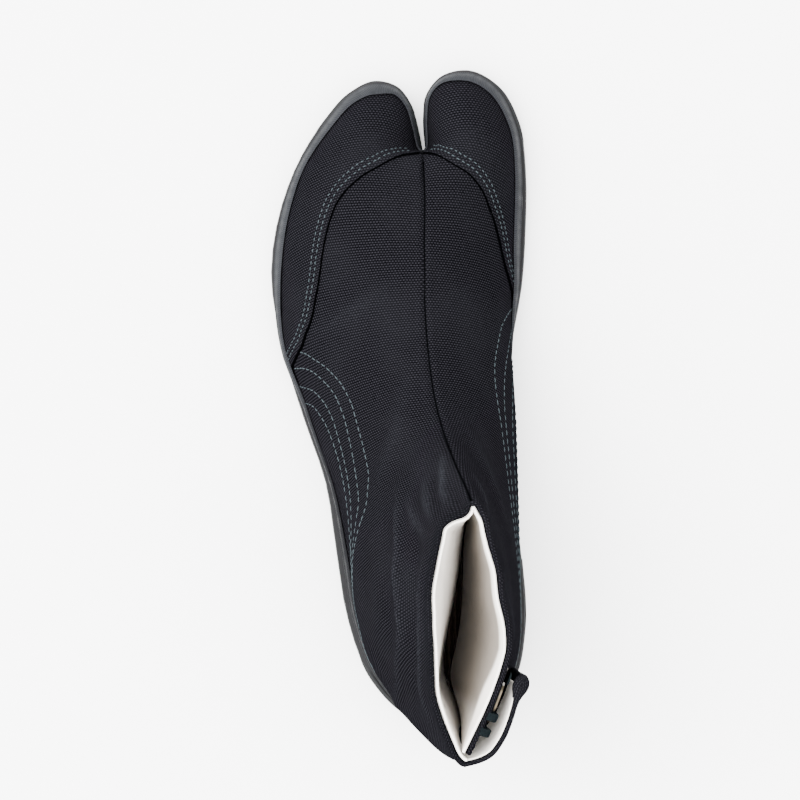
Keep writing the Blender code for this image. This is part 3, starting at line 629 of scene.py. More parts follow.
def grid_mesh(name, grids, weld):
    """One smooth mesh from grids of points, with cloth coordinates in millimetres and a tone per point, which
    holds rubbing along folds and painted highlight and shade.
    """
    verts, faces, cloth, wear = [], [], [], []
    start = 0
    for grid in grids:
        rows, columns = grid.points.shape[:2]
        index = start + np.arange(rows * columns).reshape(rows, columns)
        corners = index[:-1, :-1], index[:-1, 1:], index[1:, 1:], index[1:, :-1]
        quads = np.stack(corners, axis=-1).reshape(-1, 4)
        faces.append(quads[:, ::-1] if grid.flip else quads)
        verts.append(metres(grid.points).reshape(-1, 3))
        cloth.append(grid.cloth.reshape(-1, 2))
        wear.append(np.broadcast_to(grid.wear, (rows, columns)).reshape(-1))
        start += rows * columns
    mesh = bpy.data.meshes.new(name)
    mesh.from_pydata(np.vstack(verts).tolist(), [], np.vstack(faces).tolist())
    layer = mesh.uv_layers.new(name="cloth")
    layer.uv.foreach_set("vector", np.vstack(cloth)[corner_verts(mesh)].astype(np.float32).ravel())
    tone_layer = mesh.attributes.new("wear", "FLOAT", "POINT")
    tone_layer.data.foreach_set("value", np.concatenate(wear).astype(np.float32))
    if weld:
        bm = bmesh.new()
        bm.from_mesh(mesh)
        bmesh.ops.remove_doubles(bm, verts=bm.verts, dist=weld * MM)
        bm.to_mesh(mesh)
        bm.free()
    mesh.shade_smooth()
    return mesh


def new_object(name, data):
    """A new object that is linked to the scene."""
    obj = bpy.data.objects.new(name, data)
    bpy.context.scene.collection.objects.link(obj)
    return obj


def piece(name, grids, weld, material, replaces=()):
    """Grids as one piece of the shoe that rides on its only body."""
    obj = new_object(name, grid_mesh(name, grids, weld))
    obj.data.materials.append(material)
    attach(obj, "root")
    if replaces:
        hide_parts(*replaces)
    return obj


UNWRAP_PER_ROW = 4
UNWRAP_SHARES = 32
UNWRAP_PASSES = 20
ClothCut = namedtuple("ClothCut", "last_row level_first level_last share_first share_last")
# Rows that each cut of cloth covers, and where it lies level, so that its weave runs straight there
PANEL_CUT = ClothCut(COLLAR, 5.5, 9.5, 0.55, 1.0)
GUARD_CUT = ClothCut(8.5, 1.5, 5.0, 0.30, 0.75)


class Cloth:
    """Flat cloth coordinates of a panel or of a piece on it, in millimetres: across and along the shoe."""

    def __init__(self, panel, cut):
        rows = np.linspace(0.0, cut.last_row, int(cut.last_row * UNWRAP_PER_ROW) + 1)
        shares = np.linspace(0.0, 1.0, UNWRAP_SHARES + 1)
        rows, shares = np.meshgrid(rows, shares, indexing="ij")
        points = panel.at(rows, shares)
        blank = np.zeros(points.shape[:2] + (2,))
        mesh = grid_mesh("unwrap", [Grid(points, blank, 0.0, False)], NO_WELD)
        obj = new_object("unwrap", mesh)
        bpy.context.view_layer.objects.active = obj
        obj.select_set(True)
        bpy.ops.object.mode_set(mode="EDIT")
        bpy.ops.mesh.select_all(action="SELECT")
        bpy.ops.uv.unwrap(method="MINIMUM_STRETCH", iterations=UNWRAP_PASSES)
        bpy.ops.object.mode_set(mode="OBJECT")
        flat = np.zeros(len(mesh.loops) * 2, np.float32)
        mesh.uv_layers[0].uv.foreach_get("vector", flat)
        spread = np.zeros((len(mesh.vertices), 2))
        spread[corner_verts(mesh)] = flat.reshape(-1, 2)
        bpy.data.objects.remove(obj)
        level = (rows >= cut.level_first) & (rows <= cut.level_last)
        level &= (shares >= cut.share_first) & (shares <= cut.share_last)
        self.spread = self.lay_level(spread.reshape(rows.shape + (2,)), points, level)

    def lay_level(self, spread, points, level):
        """Turns and scales the flat cloth to run like the shoe seen from above, where it lies level."""
        flat = spread[..., 0] + 1j * spread[..., 1]
        flat = flat - flat[level].mean()
        plan = points[level][:, 0] + 1j * points[level][:, 1]
        plan = plan - plan.mean()
        straight = np.sum(np.conj(flat[level]) * plan)
        mirrored = np.sum(flat[level] * plan)
        if abs(mirrored) > abs(straight):
            flat = np.conj(flat)
            straight = mirrored
        flat = flat * straight / np.sum(np.abs(flat[level]) ** 2)
        return np.stack([flat.real, flat.imag], axis=-1)

    def at(self, rows, shares):
        return pick(self.spread, rows, shares, UNWRAP_PER_ROW, UNWRAP_SHARES)


CLOTH = {side: Cloth(panel, PANEL_CUT) for side, panel in PANELS.items()}
GUARD_CLOTH = {side: Cloth(panel, GUARD_CUT) for side, panel in PANELS.items()}


# Materials


class Graph:
    """The nodes of a material, or of the sky, with short calls for them."""

    def __init__(self, name, kind="materials", shader="Principled BSDF"):
        self.owner = getattr(bpy.data, kind).new(name)
        self.owner.use_nodes = True
        self.tree = self.owner.node_tree
        self.shader = self.tree.nodes[shader]

    def put(self, socket, value):
        if isinstance(value, bpy.types.NodeSocket):
            self.tree.links.new(value, socket)
        else:
            socket.default_value = value

    def add(self, kind, inputs, **settings):
        node = self.tree.nodes.new(kind)
        for key, value in settings.items():
            setattr(node, key, value)
        for key, value in inputs.items():
            self.put(node.inputs[key], value)
        return node

    def math(self, operation, a, b=0.0):
        return self.add("ShaderNodeMath", {0: a, 1: b}, operation=operation).outputs[0]

    def plus(self, a, b):
        return self.math("ADD", a, b)

    def times(self, a, b):
        return self.math("MULTIPLY", a, b)

    def mix(self, share, a, b):
        return self.add("ShaderNodeMix", {0: share, 6: a, 7: b}, data_type="RGBA").outputs[2]

    def stretch(self, value, low, high):
        """0 to 1 between two values."""
        return self.add("ShaderNodeMapRange", {0: value, 1: low, 2: high}).outputs[0]

    def stain(self, tone, mask, low, high, most, colour):
        """A tone under a colour, from none of it where a mask is low to the most of it where it is high."""
        return self.mix(self.times(self.stretch(mask, low, high), most), tone, colour)

    def place(self):
        """Place on the piece, in metres."""
        return self.add("ShaderNodeTexCoord", {}).outputs["Object"]

    def wear(self):
        return self.add("ShaderNodeAttribute", {}, attribute_name="wear").outputs["Fac"]

    def cloth(self):
        """The two cloth coordinates, in millimetres."""
        place = self.add("ShaderNodeUVMap", {}, uv_map="cloth").outputs[0]
        parts = self.add("ShaderNodeSeparateXYZ", {0: place})
        return place, parts.outputs[0], parts.outputs[1]

    def noise(self, place, scale, detail=2.0):
        inputs = {"Vector": place, "Scale": scale, "Detail": detail}
        return self.add("ShaderNodeTexNoise", inputs).outputs[0]

    def wave(self, value, pitch):
        return self.math("SINE", self.times(value, 2 * math.pi / pitch))

    def bump(self, height, depth, below=None):
        """Bump of a real depth in millimetres, on top of another one."""
        inputs = {"Height": height, "Distance": depth * MM, "Strength": 1.0}
        if below is not None:
            inputs["Normal"] = below
        return self.add("ShaderNodeBump", inputs).outputs[0]

    def shade(self, **inputs):
        for key, value in inputs.items():
            self.put(self.shader.inputs[key.replace("_", " ")], value)
        return self.owner


WARP_PITCH = 1.13
WEFT_PITCH = 1.95


def canvas_material():
    """Coarse blue-black cotton duck: staggered thread crowns, slubs, lint, fold ridges paler from rubbing and
    a painted highlight, painted shade at the seam and guard edges, a darker outer hem.
    """
    g = Graph("canvas")
    place, u, v = g.cloth()
    wander = g.times(g.math("SUBTRACT", g.noise(place, 0.25), 0.5), 0.5)
    warp = g.wave(g.plus(u, wander), WARP_PITCH)
    weft = g.wave(g.plus(v, wander), WEFT_PITCH)
    rows = g.times(g.times(weft, weft), 1.6)
    crowns = g.stretch(g.plus(g.times(warp, weft), rows), 0.25, 2.3)
    slub = g.noise(place, 0.9, 3.0)
    tone = g.mix(crowns, (0.0003, 0.0003, 0.0005, 1), (0.0125, 0.0120, 0.0147, 1))
    tone = g.stain(tone, slub, 0.35, 0.85, 0.5, (0.0045, 0.0044, 0.0055, 1))
    tone = g.stain(tone, g.noise(place, 0.03, 3.0), 0.45, 0.75, 0.3, (0.0075, 0.0076, 0.0090, 1))
    wear = g.wear()
    # Paler fold ridges and inner hem: partly rubbed and dusty cloth, partly a painted highlight
    edges = g.times(g.math("POWER", wear, 2.0), g.stretch(g.noise(place, 0.7, 3.0), 0.3, 0.75))
    tone = g.mix(g.times(edges, 0.45), tone, (0.022, 0.024, 0.028, 1))
    # Near black where the tone is below 0: painted shade along the seam and the guards' turned edges, and a
    # darker outer hem
    tone = g.mix(g.stretch(wear, -0.2, -1.0), tone, (0.0003, 0.0003, 0.0004, 1))
    tone = g.stain(tone, g.noise(place, 1.6, 1.0), 0.74, 0.80, 0.25, (0.03, 0.03, 0.032, 1))
    relief = g.bump(slub, 0.12, g.bump(crowns, 0.35))
    return g.shade(Base_Color=tone, Roughness=1.0, Normal=relief, Specular_IOR_Level=0.0)


def lining_material():
    """Off-white cotton twill with fine diagonal ribs, grey-brown under the facing, where painted shade stands
    for the dark inside.
    """
    g = Graph("lining")
    place, u, v = g.cloth()
    ribs = g.stretch(g.wave(g.plus(u, v), 0.8), -0.8, 0.9)
    soft = g.noise(place, 0.12, 4.0)
    tone = g.mix(ribs, (0.73, 0.69, 0.63, 1), (0.87, 0.83, 0.78, 1))
    tone = g.stain(tone, soft, 0.4, 0.8, 0.35, (0.62, 0.58, 0.52, 1))
    # Painted shade: grey-brown deep inside the lining, below the white facing
    tone = g.mix(g.wear(), tone, (0.17, 0.15, 0.128, 1))
    relief = g.bump(soft, 0.5, g.bump(ribs, 0.12))
    return g.shade(Base_Color=tone, Roughness=0.95, Normal=relief, Specular_IOR_Level=0.1)


def foxing_material():
    """Rubber band with fine slanting lines: dark below its step and at the heel, blue-grey at the toes."""
    g = Graph("foxing_rubber")
    place, u, v = g.cloth()
    lines = g.stretch(g.wave(g.plus(u, g.times(v, 6.0)), 0.9), -0.6, 0.9)
    grime = g.noise(place, 0.25, 4.0)
    upper = g.mix(lines, (0.0085, 0.0090, 0.0102, 1), (0.0165, 0.0175, 0.0200, 1))
    upper = g.stain(upper, grime, 0.4, 0.75, 0.4, (0.0095, 0.0100, 0.0110, 1))
    upper = g.mix(g.wear(), (0.0062, 0.0064, 0.0072, 1), upper)
    tone = g.mix(g.stretch(v, FOXING_STEP - 0.03, FOXING_STEP + 0.01), (0.0055, 0.0057, 0.0063, 1), upper)
    relief = g.bump(grime, 0.08, g.bump(lines, 0.10))
    rough = g.stretch(grime, -0.9, 1.2)
    return g.shade(Base_Color=tone, Roughness=rough, Normal=relief, Specular_IOR_Level=0.03)


def rubber_material(name, roughness, gloss):
    """Moulded black rubber with a fine pebble, and paler sharp edges: partly rubbed, partly a painted
    highlight.
    """
    g = Graph(name)
    place = g.place()
    pebble = g.noise(place, 1400.0, 2.0)
    smears = g.noise(place, 60.0, 4.0)
    edges = g.add("ShaderNodeNewGeometry", {}).outputs["Pointiness"]
    tone = g.mix(g.stretch(smears, 0.35, 0.75), (0.0045, 0.0045, 0.0050, 1), (0.0090, 0.0090, 0.0095, 1))
    # Paler sharp edges: partly rubbed, partly a painted highlight
    tone = g.stain(tone, edges, 0.51, 0.58, 0.3, (0.02, 0.02, 0.021, 1))
    relief = g.bump(smears, 0.1, g.bump(pebble, 0.06))
    rough = g.plus(g.times(g.stretch(smears, 0.3, 0.8), 0.2), roughness)
    return g.shade(Base_Color=tone, Roughness=rough, Normal=relief, Specular_IOR_Level=gloss)


def thread_material(name, low, high):
    """Sewing thread with its twist."""
    g = Graph(name)
    _, u, v = g.cloth()
    twist = g.stretch(g.wave(g.plus(u, v), 0.45), -0.8, 0.8)
    tone = g.mix(twist, low, high)
    return g.shade(Base_Color=tone, Roughness=0.8, Normal=g.bump(twist, 0.06), Specular_IOR_Level=0.0)


def insole_material():
    """Dark brown cloth with ribs along the foot."""
    g = Graph("insole_cloth")
    place = g.place()
    parts = g.add("ShaderNodeSeparateXYZ", {0: place})
    ribs = g.stretch(g.wave(parts.outputs[0], 2.4 * MM), -0.7, 0.8)
    fuzz = g.noise(place, 900.0, 3.0)
    tone = g.mix(ribs, (0.010, 0.007, 0.005, 1), (0.036, 0.026, 0.020, 1))
    tone = g.mix(g.times(fuzz, 0.4), tone, (0.022, 0.016, 0.012, 1))
    relief = g.bump(fuzz, 0.15, g.bump(ribs, 0.5))
    return g.shade(Base_Color=tone, Roughness=0.95, Normal=relief, Specular_IOR_Level=0.05)


def metal_material():
    """Pale brass plate with fine scratches, darkened: partly tarnish, partly a painted dark reflection of the
    canvas round it.
    """
    g = Graph("clasp_metal")
    place = g.place()
    drawn = g.add("ShaderNodeMapping", {"Vector": place, "Scale": (300.0, 2500.0, 300.0)}).outputs[0]
    scratches = g.noise(drawn, 1.0, 3.0)
    tarnish = g.noise(place, 220.0, 3.0)
    # Dark tones: partly tarnish, partly a painted dark reflection of the canvas round the clasps
    tone = g.mix(g.stretch(tarnish, 0.35, 0.75), (0.070, 0.058, 0.040, 1), (0.018, 0.015, 0.011, 1))
    rough = g.plus(g.times(scratches, 0.3), 0.15)
    return g.shade(Base_Color=tone, Metallic=1.0, Roughness=rough, Normal=g.bump(scratches, 0.02))


def floor_material():
    """Pale paper with a faint grain."""
    g = Graph("floor")
    place = g.place()
    grain = g.noise(place, 40.0, 2.0)
    tone = g.mix(grain, (0.86, 0.86, 0.86, 1), (0.88, 0.88, 0.88, 1))
    return g.shade(Base_Color=tone, Roughness=0.8)


CANVAS_CLOTH = canvas_material()
LINING = lining_material()
THREAD = thread_material("thread", (0.013, 0.018, 0.020, 1), (0.040, 0.049, 0.053, 1))
LOOP_CORD = thread_material("loop_cord", (0.002, 0.003, 0.003, 1), (0.008, 0.011, 0.0125, 1))


# Upper, lining and guards

ROWS = np.linspace(0.0, COLLAR, COLLAR * 10 + 1)
SHARES = np.concatenate([np.linspace(0.0, 0.93, 72), np.linspace(0.94, 1.0, 9)])
HEM_RADIUS = 1.0
HEM_TAIL = 3.0
# Tone of the hem: below 0 it is darker than the cloth, above 0 paler
HEM_TONE = {OUTER: -0.45, INNER: 0.1}
# Rows over which the hem's tone comes in
HEM_ROWS = (16.75, 16.9)
# Share at which the inner panel stops under the flap, and the rows over which it draws back to it
INNER_END = 0.045
INNER_END_ROWS = (14.1, 14.8)
ROLL = np.linspace(0.0, math.pi, 6)


def rolled(points, cloth, normals, radius, tail):
    """Extra rows that turn a grid's last edge inwards over a round hem and run down behind it."""
    up = unit(points[-1] - points[-3])
    rows = [points[-1] - normals * radius * (1 - math.cos(a)) + up * radius * math.sin(a) for a in ROLL[1:]]
    rows.append(rows[-1] - up * tail)
    run = unit(cloth[-1] - cloth[-3])
    places = [cloth[-1] + run * radius * a for a in ROLL[1:]]
    places.append(places[-1] + run * tail)
    return np.vstack([points, np.array(rows)]), np.vstack([cloth, np.array(places)])


def closing_end(side, rows):
    """Share at which a panel ends at the back: the inner one stops under the flap."""
    return (INNER_END if side == INNER else 0.0) * ramp(rows, *INNER_END_ROWS)


def hemmed_grid(side):
    """One panel with its rolled hem at the collar."""
    panel = PANELS[side]
    rows, shares = np.meshgrid(ROWS, SHARES, indexing="ij")
    start = closing_end(side, rows)
    shares = start + (1 - start) * shares
    points = panel.at(rows, shares)
    cloth = CLOTH[side].at(rows, shares)
    normals = panel.pick(panel.normals, rows[-1], shares[-1])
    points, cloth = rolled(points, cloth, normals, HEM_RADIUS, HEM_TAIL)
    hem = HEM_TONE[side]
    wear = panel.pick(panel.wear, rows, shares)
    wear = wear + (np.minimum(hem, wear) - wear) * ramp(rows, *HEM_ROWS)
    wear = np.vstack([wear, np.full((len(ROLL), len(SHARES)), hem)])
    return Grid(points, cloth, wear, side == OUTER)


def make_upper():
    grids = [hemmed_grid(side) for side in PANELS]
    return piece("upper_canvas", grids, CLOTH_WELD, CANVAS_CLOTH, ["upper"])


# Lining: a slack bag that hangs from the collar towards a valley in the middle of the shoe
LINING_OFFSET = 2.4
LINING_RADIUS = 0.5
LINING_PROUD = 0.5
VALLEY = table(
    "y x half",
    (-132.0, 27.0, 0.2),
    (-121.0, 24.2, 0.5),
    (-108.0, 19.8, 1.6),
    (-94.0, 21.6, 2.4),
    (-81.0, 23.8, 2.0),
    (-70.0, 25.0, 1.2),
    (-50.0, 27.0, 0.3),
    (-38.0, 30.0, 0.1),
)
LINING_DEPTH = {OUTER: 58.0, INNER: 84.0}
LINING_FLOOR = 17.0
LINING_STEPS = np.linspace(0.0, 1.0, 40)
# Power by which the inner half draws in on its way down
INNER_FALL = 0.9
# Place along the shoe to which both halves gather, and the share of their length that is left
VALLEY_MIDDLE = -88.0
VALLEY_DRAW = 0.93
# Cloth length from the valley to the floor
LINING_BELOW = 30.0
# Painted shade deep inside the lining at each side, by depth under the collar
LiningShade = namedtuple("LiningShade", "low high most")
LINING_SHADE = {OUTER: LiningShade(24.0, 52.0, 0.45), INNER: LiningShade(2.0, 7.0, 1.0)}
# How much deeper the painted shade begins at the back
BACK_SHADE_DELAY = 7.0
BACK_SHADE_DELAY_SHARES = (0.25, 0.45)
# Share of the painted shade that is left at the back, and where the rest comes in
BACK_SHADE = 0.35
BACK_SHADE_SHARES = (0.10, 0.26)
# Step down from the collar, in rows, that gives the direction up
ROW_BELOW = 0.05


def lining_grid(side):
    """One half of the lining: its turned edge, its slack fall to the valley and on to the floor."""
    panel = PANELS[side]
    collar = np.full(len(SHARES), float(COLLAR))
    start = closing_end(side, collar)
    shares = start + (1 - start) * SHARES
    normals = panel.pick(panel.normals, collar, shares)
    up = unit(panel.at(collar, shares) - panel.at(collar - ROW_BELOW, shares))
    edge = panel.at(collar, shares, np.full(len(shares), -LINING_OFFSET)) + up * LINING_PROUD
    rows = [edge - up * HEM_TAIL]
    for angle in ROLL:
        across = LINING_RADIUS * (1 - math.cos(angle))
        rows.append(edge - normals * across + up * LINING_RADIUS * math.sin(angle))
    top = rows[-1]
    ends = VALLEY_MIDDLE + (top[:, 1] - VALLEY_MIDDLE) * VALLEY_DRAW
    ends = np.clip(ends, VALLEY[0].y, VALLEY[-1].y)
    middle = read(VALLEY, "y", "x", ends)
    deep = np.stack([middle + side * read(VALLEY, "y", "half", ends), ends], axis=1)
    depth = LINING_DEPTH[side]
    falls = [0.0] * len(rows)
    for step in LINING_STEPS[1:]:
        share = math.sin(step * math.pi / 2) if side == OUTER else step ** INNER_FALL
        across = top[:, :2] + (deep - top[:, :2]) * share
        rows.append(with_height(across, top[:, 2] - depth * step))
        falls.append(depth * step)
    rows.append(with_height(deep, np.full(len(deep), LINING_FLOOR)))
    falls.append(depth + LINING_BELOW)
    falls = np.array(falls)
    cloth = np.stack(np.broadcast_arrays(lengths_along(top)[None, :], falls[:, None]), axis=-1)
    # Painted shade of the lining's depth, less at the back
    shade = LINING_SHADE[side]
    under = falls[:, None] - BACK_SHADE_DELAY * (1 - ramp(shares, *BACK_SHADE_DELAY_SHARES))
    kept = BACK_SHADE + (1 - BACK_SHADE) * ramp(shares, *BACK_SHADE_SHARES)
    tone = shade.most * ramp(under, shade.low, shade.high) * kept
    return Grid(np.array(rows), cloth, tone, side == OUTER)


def make_lining():
    """Slack cotton lining, whose turned edge shows just above the canvas hem."""
    return piece("lining", [lining_grid(side) for side in PANELS], CLOTH_WELD, LINING)


# Back edge of the toe guards: the row of the upper that it crosses at each share from base to seam
GUARD_EDGE = table(
    "share outer_row inner_row",
    (0.00, 8.40, 7.60),
    (0.20, 8.33, 7.27),
    (0.30, 8.22, 7.00),
    (0.40, 7.90, 6.50),
    (0.45, 6.80, 6.25),
    (0.50, 6.05, 6.03),
    (0.56, 5.68, 5.68),
    (0.65, 5.33, 5.33),
    (0.78, 4.97, 5.00),
    (0.85, 4.80, 4.82),
    (1.00, 4.85, 4.90),
)
GUARD_FIRST_ROW = 0.12
GUARD_SHARES = np.linspace(0.02, 0.985, 110)
# Turned edge of a guard: how far it runs past its last row, in rows, and how much of its lift is left
GUARD_TURN = table("past lift", (0.012, 0.92), (0.026, 0.60), (0.042, -0.20))
# How much flatter a guard lies at the toe split, and over which shares
GUARD_FLAT = 0.7
GUARD_FLAT_SHARES = (0.93, 0.985)
GUARD_STEPS = 90
# Distance, in shares, over which the guards' back edge is evened out
GUARD_EVEN = 0.02


def guard_edge(side, shares):
    """Row of the upper at which a guard ends, evened out along its edge."""
    knots = values_of(GUARD_EDGE, "share")
    ends = values_of(GUARD_EDGE, side_name(side) + "_row")
    before, here, after = (np.interp(shares + shift, knots, ends) for shift in (-GUARD_EVEN, 0.0, GUARD_EVEN))
    return here / 2 + (before + after) / 4


def make_guard(name, side, node):
    """Canvas overlay on one toe with a turned back edge, whose colour holds a painted shadow."""
    panel = PANELS[side]
    last = guard_edge(side, GUARD_SHARES)
    lift_here = GUARD * (1 - GUARD_FLAT * ramp(GUARD_SHARES, *GUARD_FLAT_SHARES))
    rows = [GUARD_FIRST_ROW + (last - GUARD_FIRST_ROW) * t for t in np.linspace(0.0, 1.0, GUARD_STEPS)]
    lifts = [lift_here] * len(rows)
    wear = np.zeros((len(rows) + len(GUARD_TURN), 1))
    # Painted shadow: the turned back edge is near black
    wear[len(rows):] = -1.0
    for turn in GUARD_TURN:
        rows.append(last + turn.past)
        lifts.append(lift_here * turn.lift)
    rows = np.array(rows)
    shares = np.broadcast_to(GUARD_SHARES, rows.shape)
    points = panel.at(rows, shares, np.array(lifts))
    grid = Grid(points, GUARD_CLOTH[side].at(rows, shares), wear, side == OUTER)
    return piece(name, [grid], NO_WELD, CANVAS_CLOTH, [node])


# Closure flap

FLAP_FRONT = 0.38
FLAP_FIRST_ROW = 14.0
FLAP_OPENING = 1.4
FLAP_HALF = 0.95
# Shares over which the flap leaves the outer panel's edge: its face, its middle and its facing
FACE_LEAVES = (0.0, 0.03)
MIDDLE_LEAVES = (0.0, 0.06)
FACING_LEAVES = (0.0, 0.05)
# Direction straight out of the back of the heel
HEEL_OUTWARD = np.array([0.2, -0.98, 0.0])
# Millimetres in a row and in the whole rim, for distances from the flap's edges
ROW_LENGTH = 29.0
RIM_LENGTH = 106.0
# Rows and shares of the flap's grid: even ones, and close ones at its round edges
EVEN_ROWS = 60
EVEN_SHARES = 50
CLOSE_ROWS = np.array([0.04, 0.02, 0.01, 0.004, 0.0])
CLOSE_FROM = 0.06
CLOSE_SHARE = 0.3
# White facing inside the flap: rows, distance from its front, half thickness, how deep it is set in
FACING_ROWS = (15.95, 16.95)
FACING_BACK = 0.03
FACING_HALF = 0.3
FACING_SUNK = 0.2
# Rows over which the facing is set in along the back too
FACING_CLEAR = (16.5, 16.9)
# Top edge of the flap's inner face, from the back of the heel forwards, by share of the inner panel
FLAP_TOP = table(
    "share x y z",
    (0.000, 29.2, -132.0, 124.0),
    (0.055, 34.2, -130.3, 124.2),
    (0.110, 38.3, -128.0, 124.5),
    (0.170, 41.9, -123.0, 124.8),
    (0.250, 45.0, -115.5, 125.2),
    (0.310, 47.0, -108.6, 125.5),
    (0.380, 50.2, -99.2, 125.8),
)
# How much of the flap's front edge is cut back in each row under the collar
FLAP_SLANT = 0.028
# Lump at the flap's top front corner: how far in it sits, its half width, and its height on both faces
KNOT_IN = 3.2
KNOT_HALF = 3.4
KNOT_HEIGHT = 2.2
KNOT_INSIDE = 2.0


def flap_face(rows, shares):
    """Inner face of the flap: close to the panel low down, and out to the top edge at the collar."""
    panel = PANELS[INNER]
    beside = ramp(shares, *FACE_LEAVES)
    lift = FLAP_GAP * beside - FLAP * (1 - beside)
    low = panel.at(rows, shares, lift)
    collar = panel.at(np.full(shares.shape, float(COLLAR)), shares, lift)
    top = np.stack([read(FLAP_TOP, "share", axis, shares) for axis in "xyz"], axis=-1)
    risen = (rows - FLAP_FIRST_ROW) / (COLLAR - FLAP_FIRST_ROW)
    return low + (top - collar) * (risen ** FLAP_OPENING)[..., None]


def flap_middle(rows, shares):
    """Middle of the flap's cloth, which runs on from the outer panel's edge at the back."""
    face = flap_face(rows, shares)
    middle = face + grid_normals(face) * FLAP / 2
    edge = PANELS[OUTER].at(rows, np.zeros(shares.shape)) - HEEL_OUTWARD * FLAP_HALF
    return edge + (middle - edge) * ramp(shares, *MIDDLE_LEAVES)[..., None]


def grid_lengths(points):
    """Cloth coordinates of a grid by its own lengths both ways, in millimetres."""
    across = np.zeros(points.shape[:2])
    up = np.zeros(points.shape[:2])
    across[:, 1:] = np.cumsum(np.linalg.norm(np.diff(points, axis=1), axis=2), axis=1)
    up[1:] = np.cumsum(np.linalg.norm(np.diff(points, axis=0), axis=2), axis=0)
    return np.stack([across, up], axis=-1)


def grid_normals(points):
    return unit(np.cross(np.gradient(points, axis=1), np.gradient(points, axis=0)))


def pillow(rows, shares, middle, half, top, front, knotted):
    """Two sheets either side of a middle one, that meet in round edges at the top and the front."""
    from_top = (top - rows) * ROW_LENGTH
    from_front = (front - shares) * RIM_LENGTH
    room = np.clip(np.minimum(from_top, from_front) / half, 0.0, 1.0)
    swell = half * np.sqrt(1 - (1 - room) ** 2)
    knot = ((from_top - KNOT_IN) / KNOT_HALF) ** 2 + ((from_front - KNOT_IN) / KNOT_HALF) ** 2
    lump = np.exp(-knot) * room if knotted else np.zeros_like(room)
    normals = grid_normals(middle)
    outside = middle + normals * (swell + KNOT_HEIGHT * lump)[..., None]
    inside = middle - normals * (swell + KNOT_INSIDE * lump)[..., None]
    return outside, inside


def flap_grids(first, top, front, half, sunk, knotted):
    """Outside and inside of the flap's canvas, which has the knot, or of the facing sunk into it."""
    rows = np.concatenate([np.linspace(first, top - CLOSE_FROM, EVEN_ROWS), top - CLOSE_ROWS])
    close = front - CLOSE_SHARE * CLOSE_ROWS
    shares = np.concatenate([np.linspace(0.0, front - CLOSE_SHARE * CLOSE_FROM, EVEN_SHARES), close])
    rows, shares = np.meshgrid(rows, shares, indexing="ij")
    slanted = shares * (1 - FLAP_SLANT / front * (COLLAR - rows))
    middle = flap_middle(rows, slanted)
    clear = np.maximum(ramp(slanted, *FACING_LEAVES), ramp(rows, *FACING_CLEAR))
    middle = middle - grid_normals(middle) * (sunk * clear)[..., None]
    outside, inside = pillow(rows, shares, middle, half, top, front, knotted)
    if knotted:
        outside[:, 0] = PANELS[OUTER].at(rows[:, 0], shares[:, 0])
    return [Grid(outside, grid_lengths(outside), 0.0, False), Grid(inside, grid_lengths(inside), 0.0, True)]


def make_flap():
    canvas = flap_grids(FLAP_FIRST_ROW, COLLAR, FLAP_FRONT, FLAP_HALF, 0.0, True)
    piece("flap_canvas", canvas, CLOTH_WELD, CANVAS_CLOTH, ["closure_flap"])
    front = FLAP_FRONT - FACING_BACK
    facing = flap_grids(*FACING_ROWS, front, FACING_HALF, FLAP_HALF + FACING_SUNK, False)
    piece("flap_lining", facing, CLOTH_WELD, LINING)


# Foxing

FOXING_STEP = 0.54
# Profile of the band: share of its height, and of its thickness, with a step half way up
FOXING_ROWS = table(
    "level thickness",
    (0.00, 0.90),
    (0.05, 1.00),
    (0.51, 1.00),
    (FOXING_STEP, 0.90),
    (0.58, 0.76),
    (0.70, 0.72),
    (0.82, 0.68),
    (0.93, 0.60),
    (0.98, 0.40),
    (1.00, 0.10),
)
# Height of the band along the shoe, and inside the toe split
BAND_ROWS = table(
    "y height",
    (-131.0, 8.0),
    (-40.0, 7.6),
    (0.0, 8.0),
    (30.0, 9.8),
    (60.0, 11.6),
    (90.0, 12.0),
    (115.0, 11.4),
    (133.0, 10.6),
)
SPLIT_HEIGHT = 8.0
FOXING_GAP = 0.05
# How uneven the band's top edge is, and the levels over which that comes in
RAGGED = 0.28
RAGGED_LEVELS = (0.9, 1.0)
# Heights at which each row looks for the wall, and neighbours over which it is evened out
FOXING_LOOKS = np.linspace(-1.0, 1.0, 5)
FOXING_SMOOTH = range(-3, 4)
# Stretch along the shoe over which the band turns from dark to grey
GREY_FROM = (-30.0, 25.0)
RAY_START = 6.0
FAR = 60.0
ROOT_STEPS = 24


def wall_distance(walls, points, inward, reach):
    """How far inside the sole's edge the walls stand, seen level from each point."""
    distances = []
    for point, direction, step in zip(points, inward, reach):
        ray = Vector((direction[0], direction[1], 0.0))
        origin = Vector(metres(point)) - ray * step * MM
        hits = [tree.ray_cast(origin, ray)[3] for tree in walls]
        distances.append(min((hit / MM for hit in hits if hit is not None), default=FAR) - step)
    near = np.array(distances)
    return np.min([np.roll(near, shift) for shift in (-1, 0, 1)], axis=0)


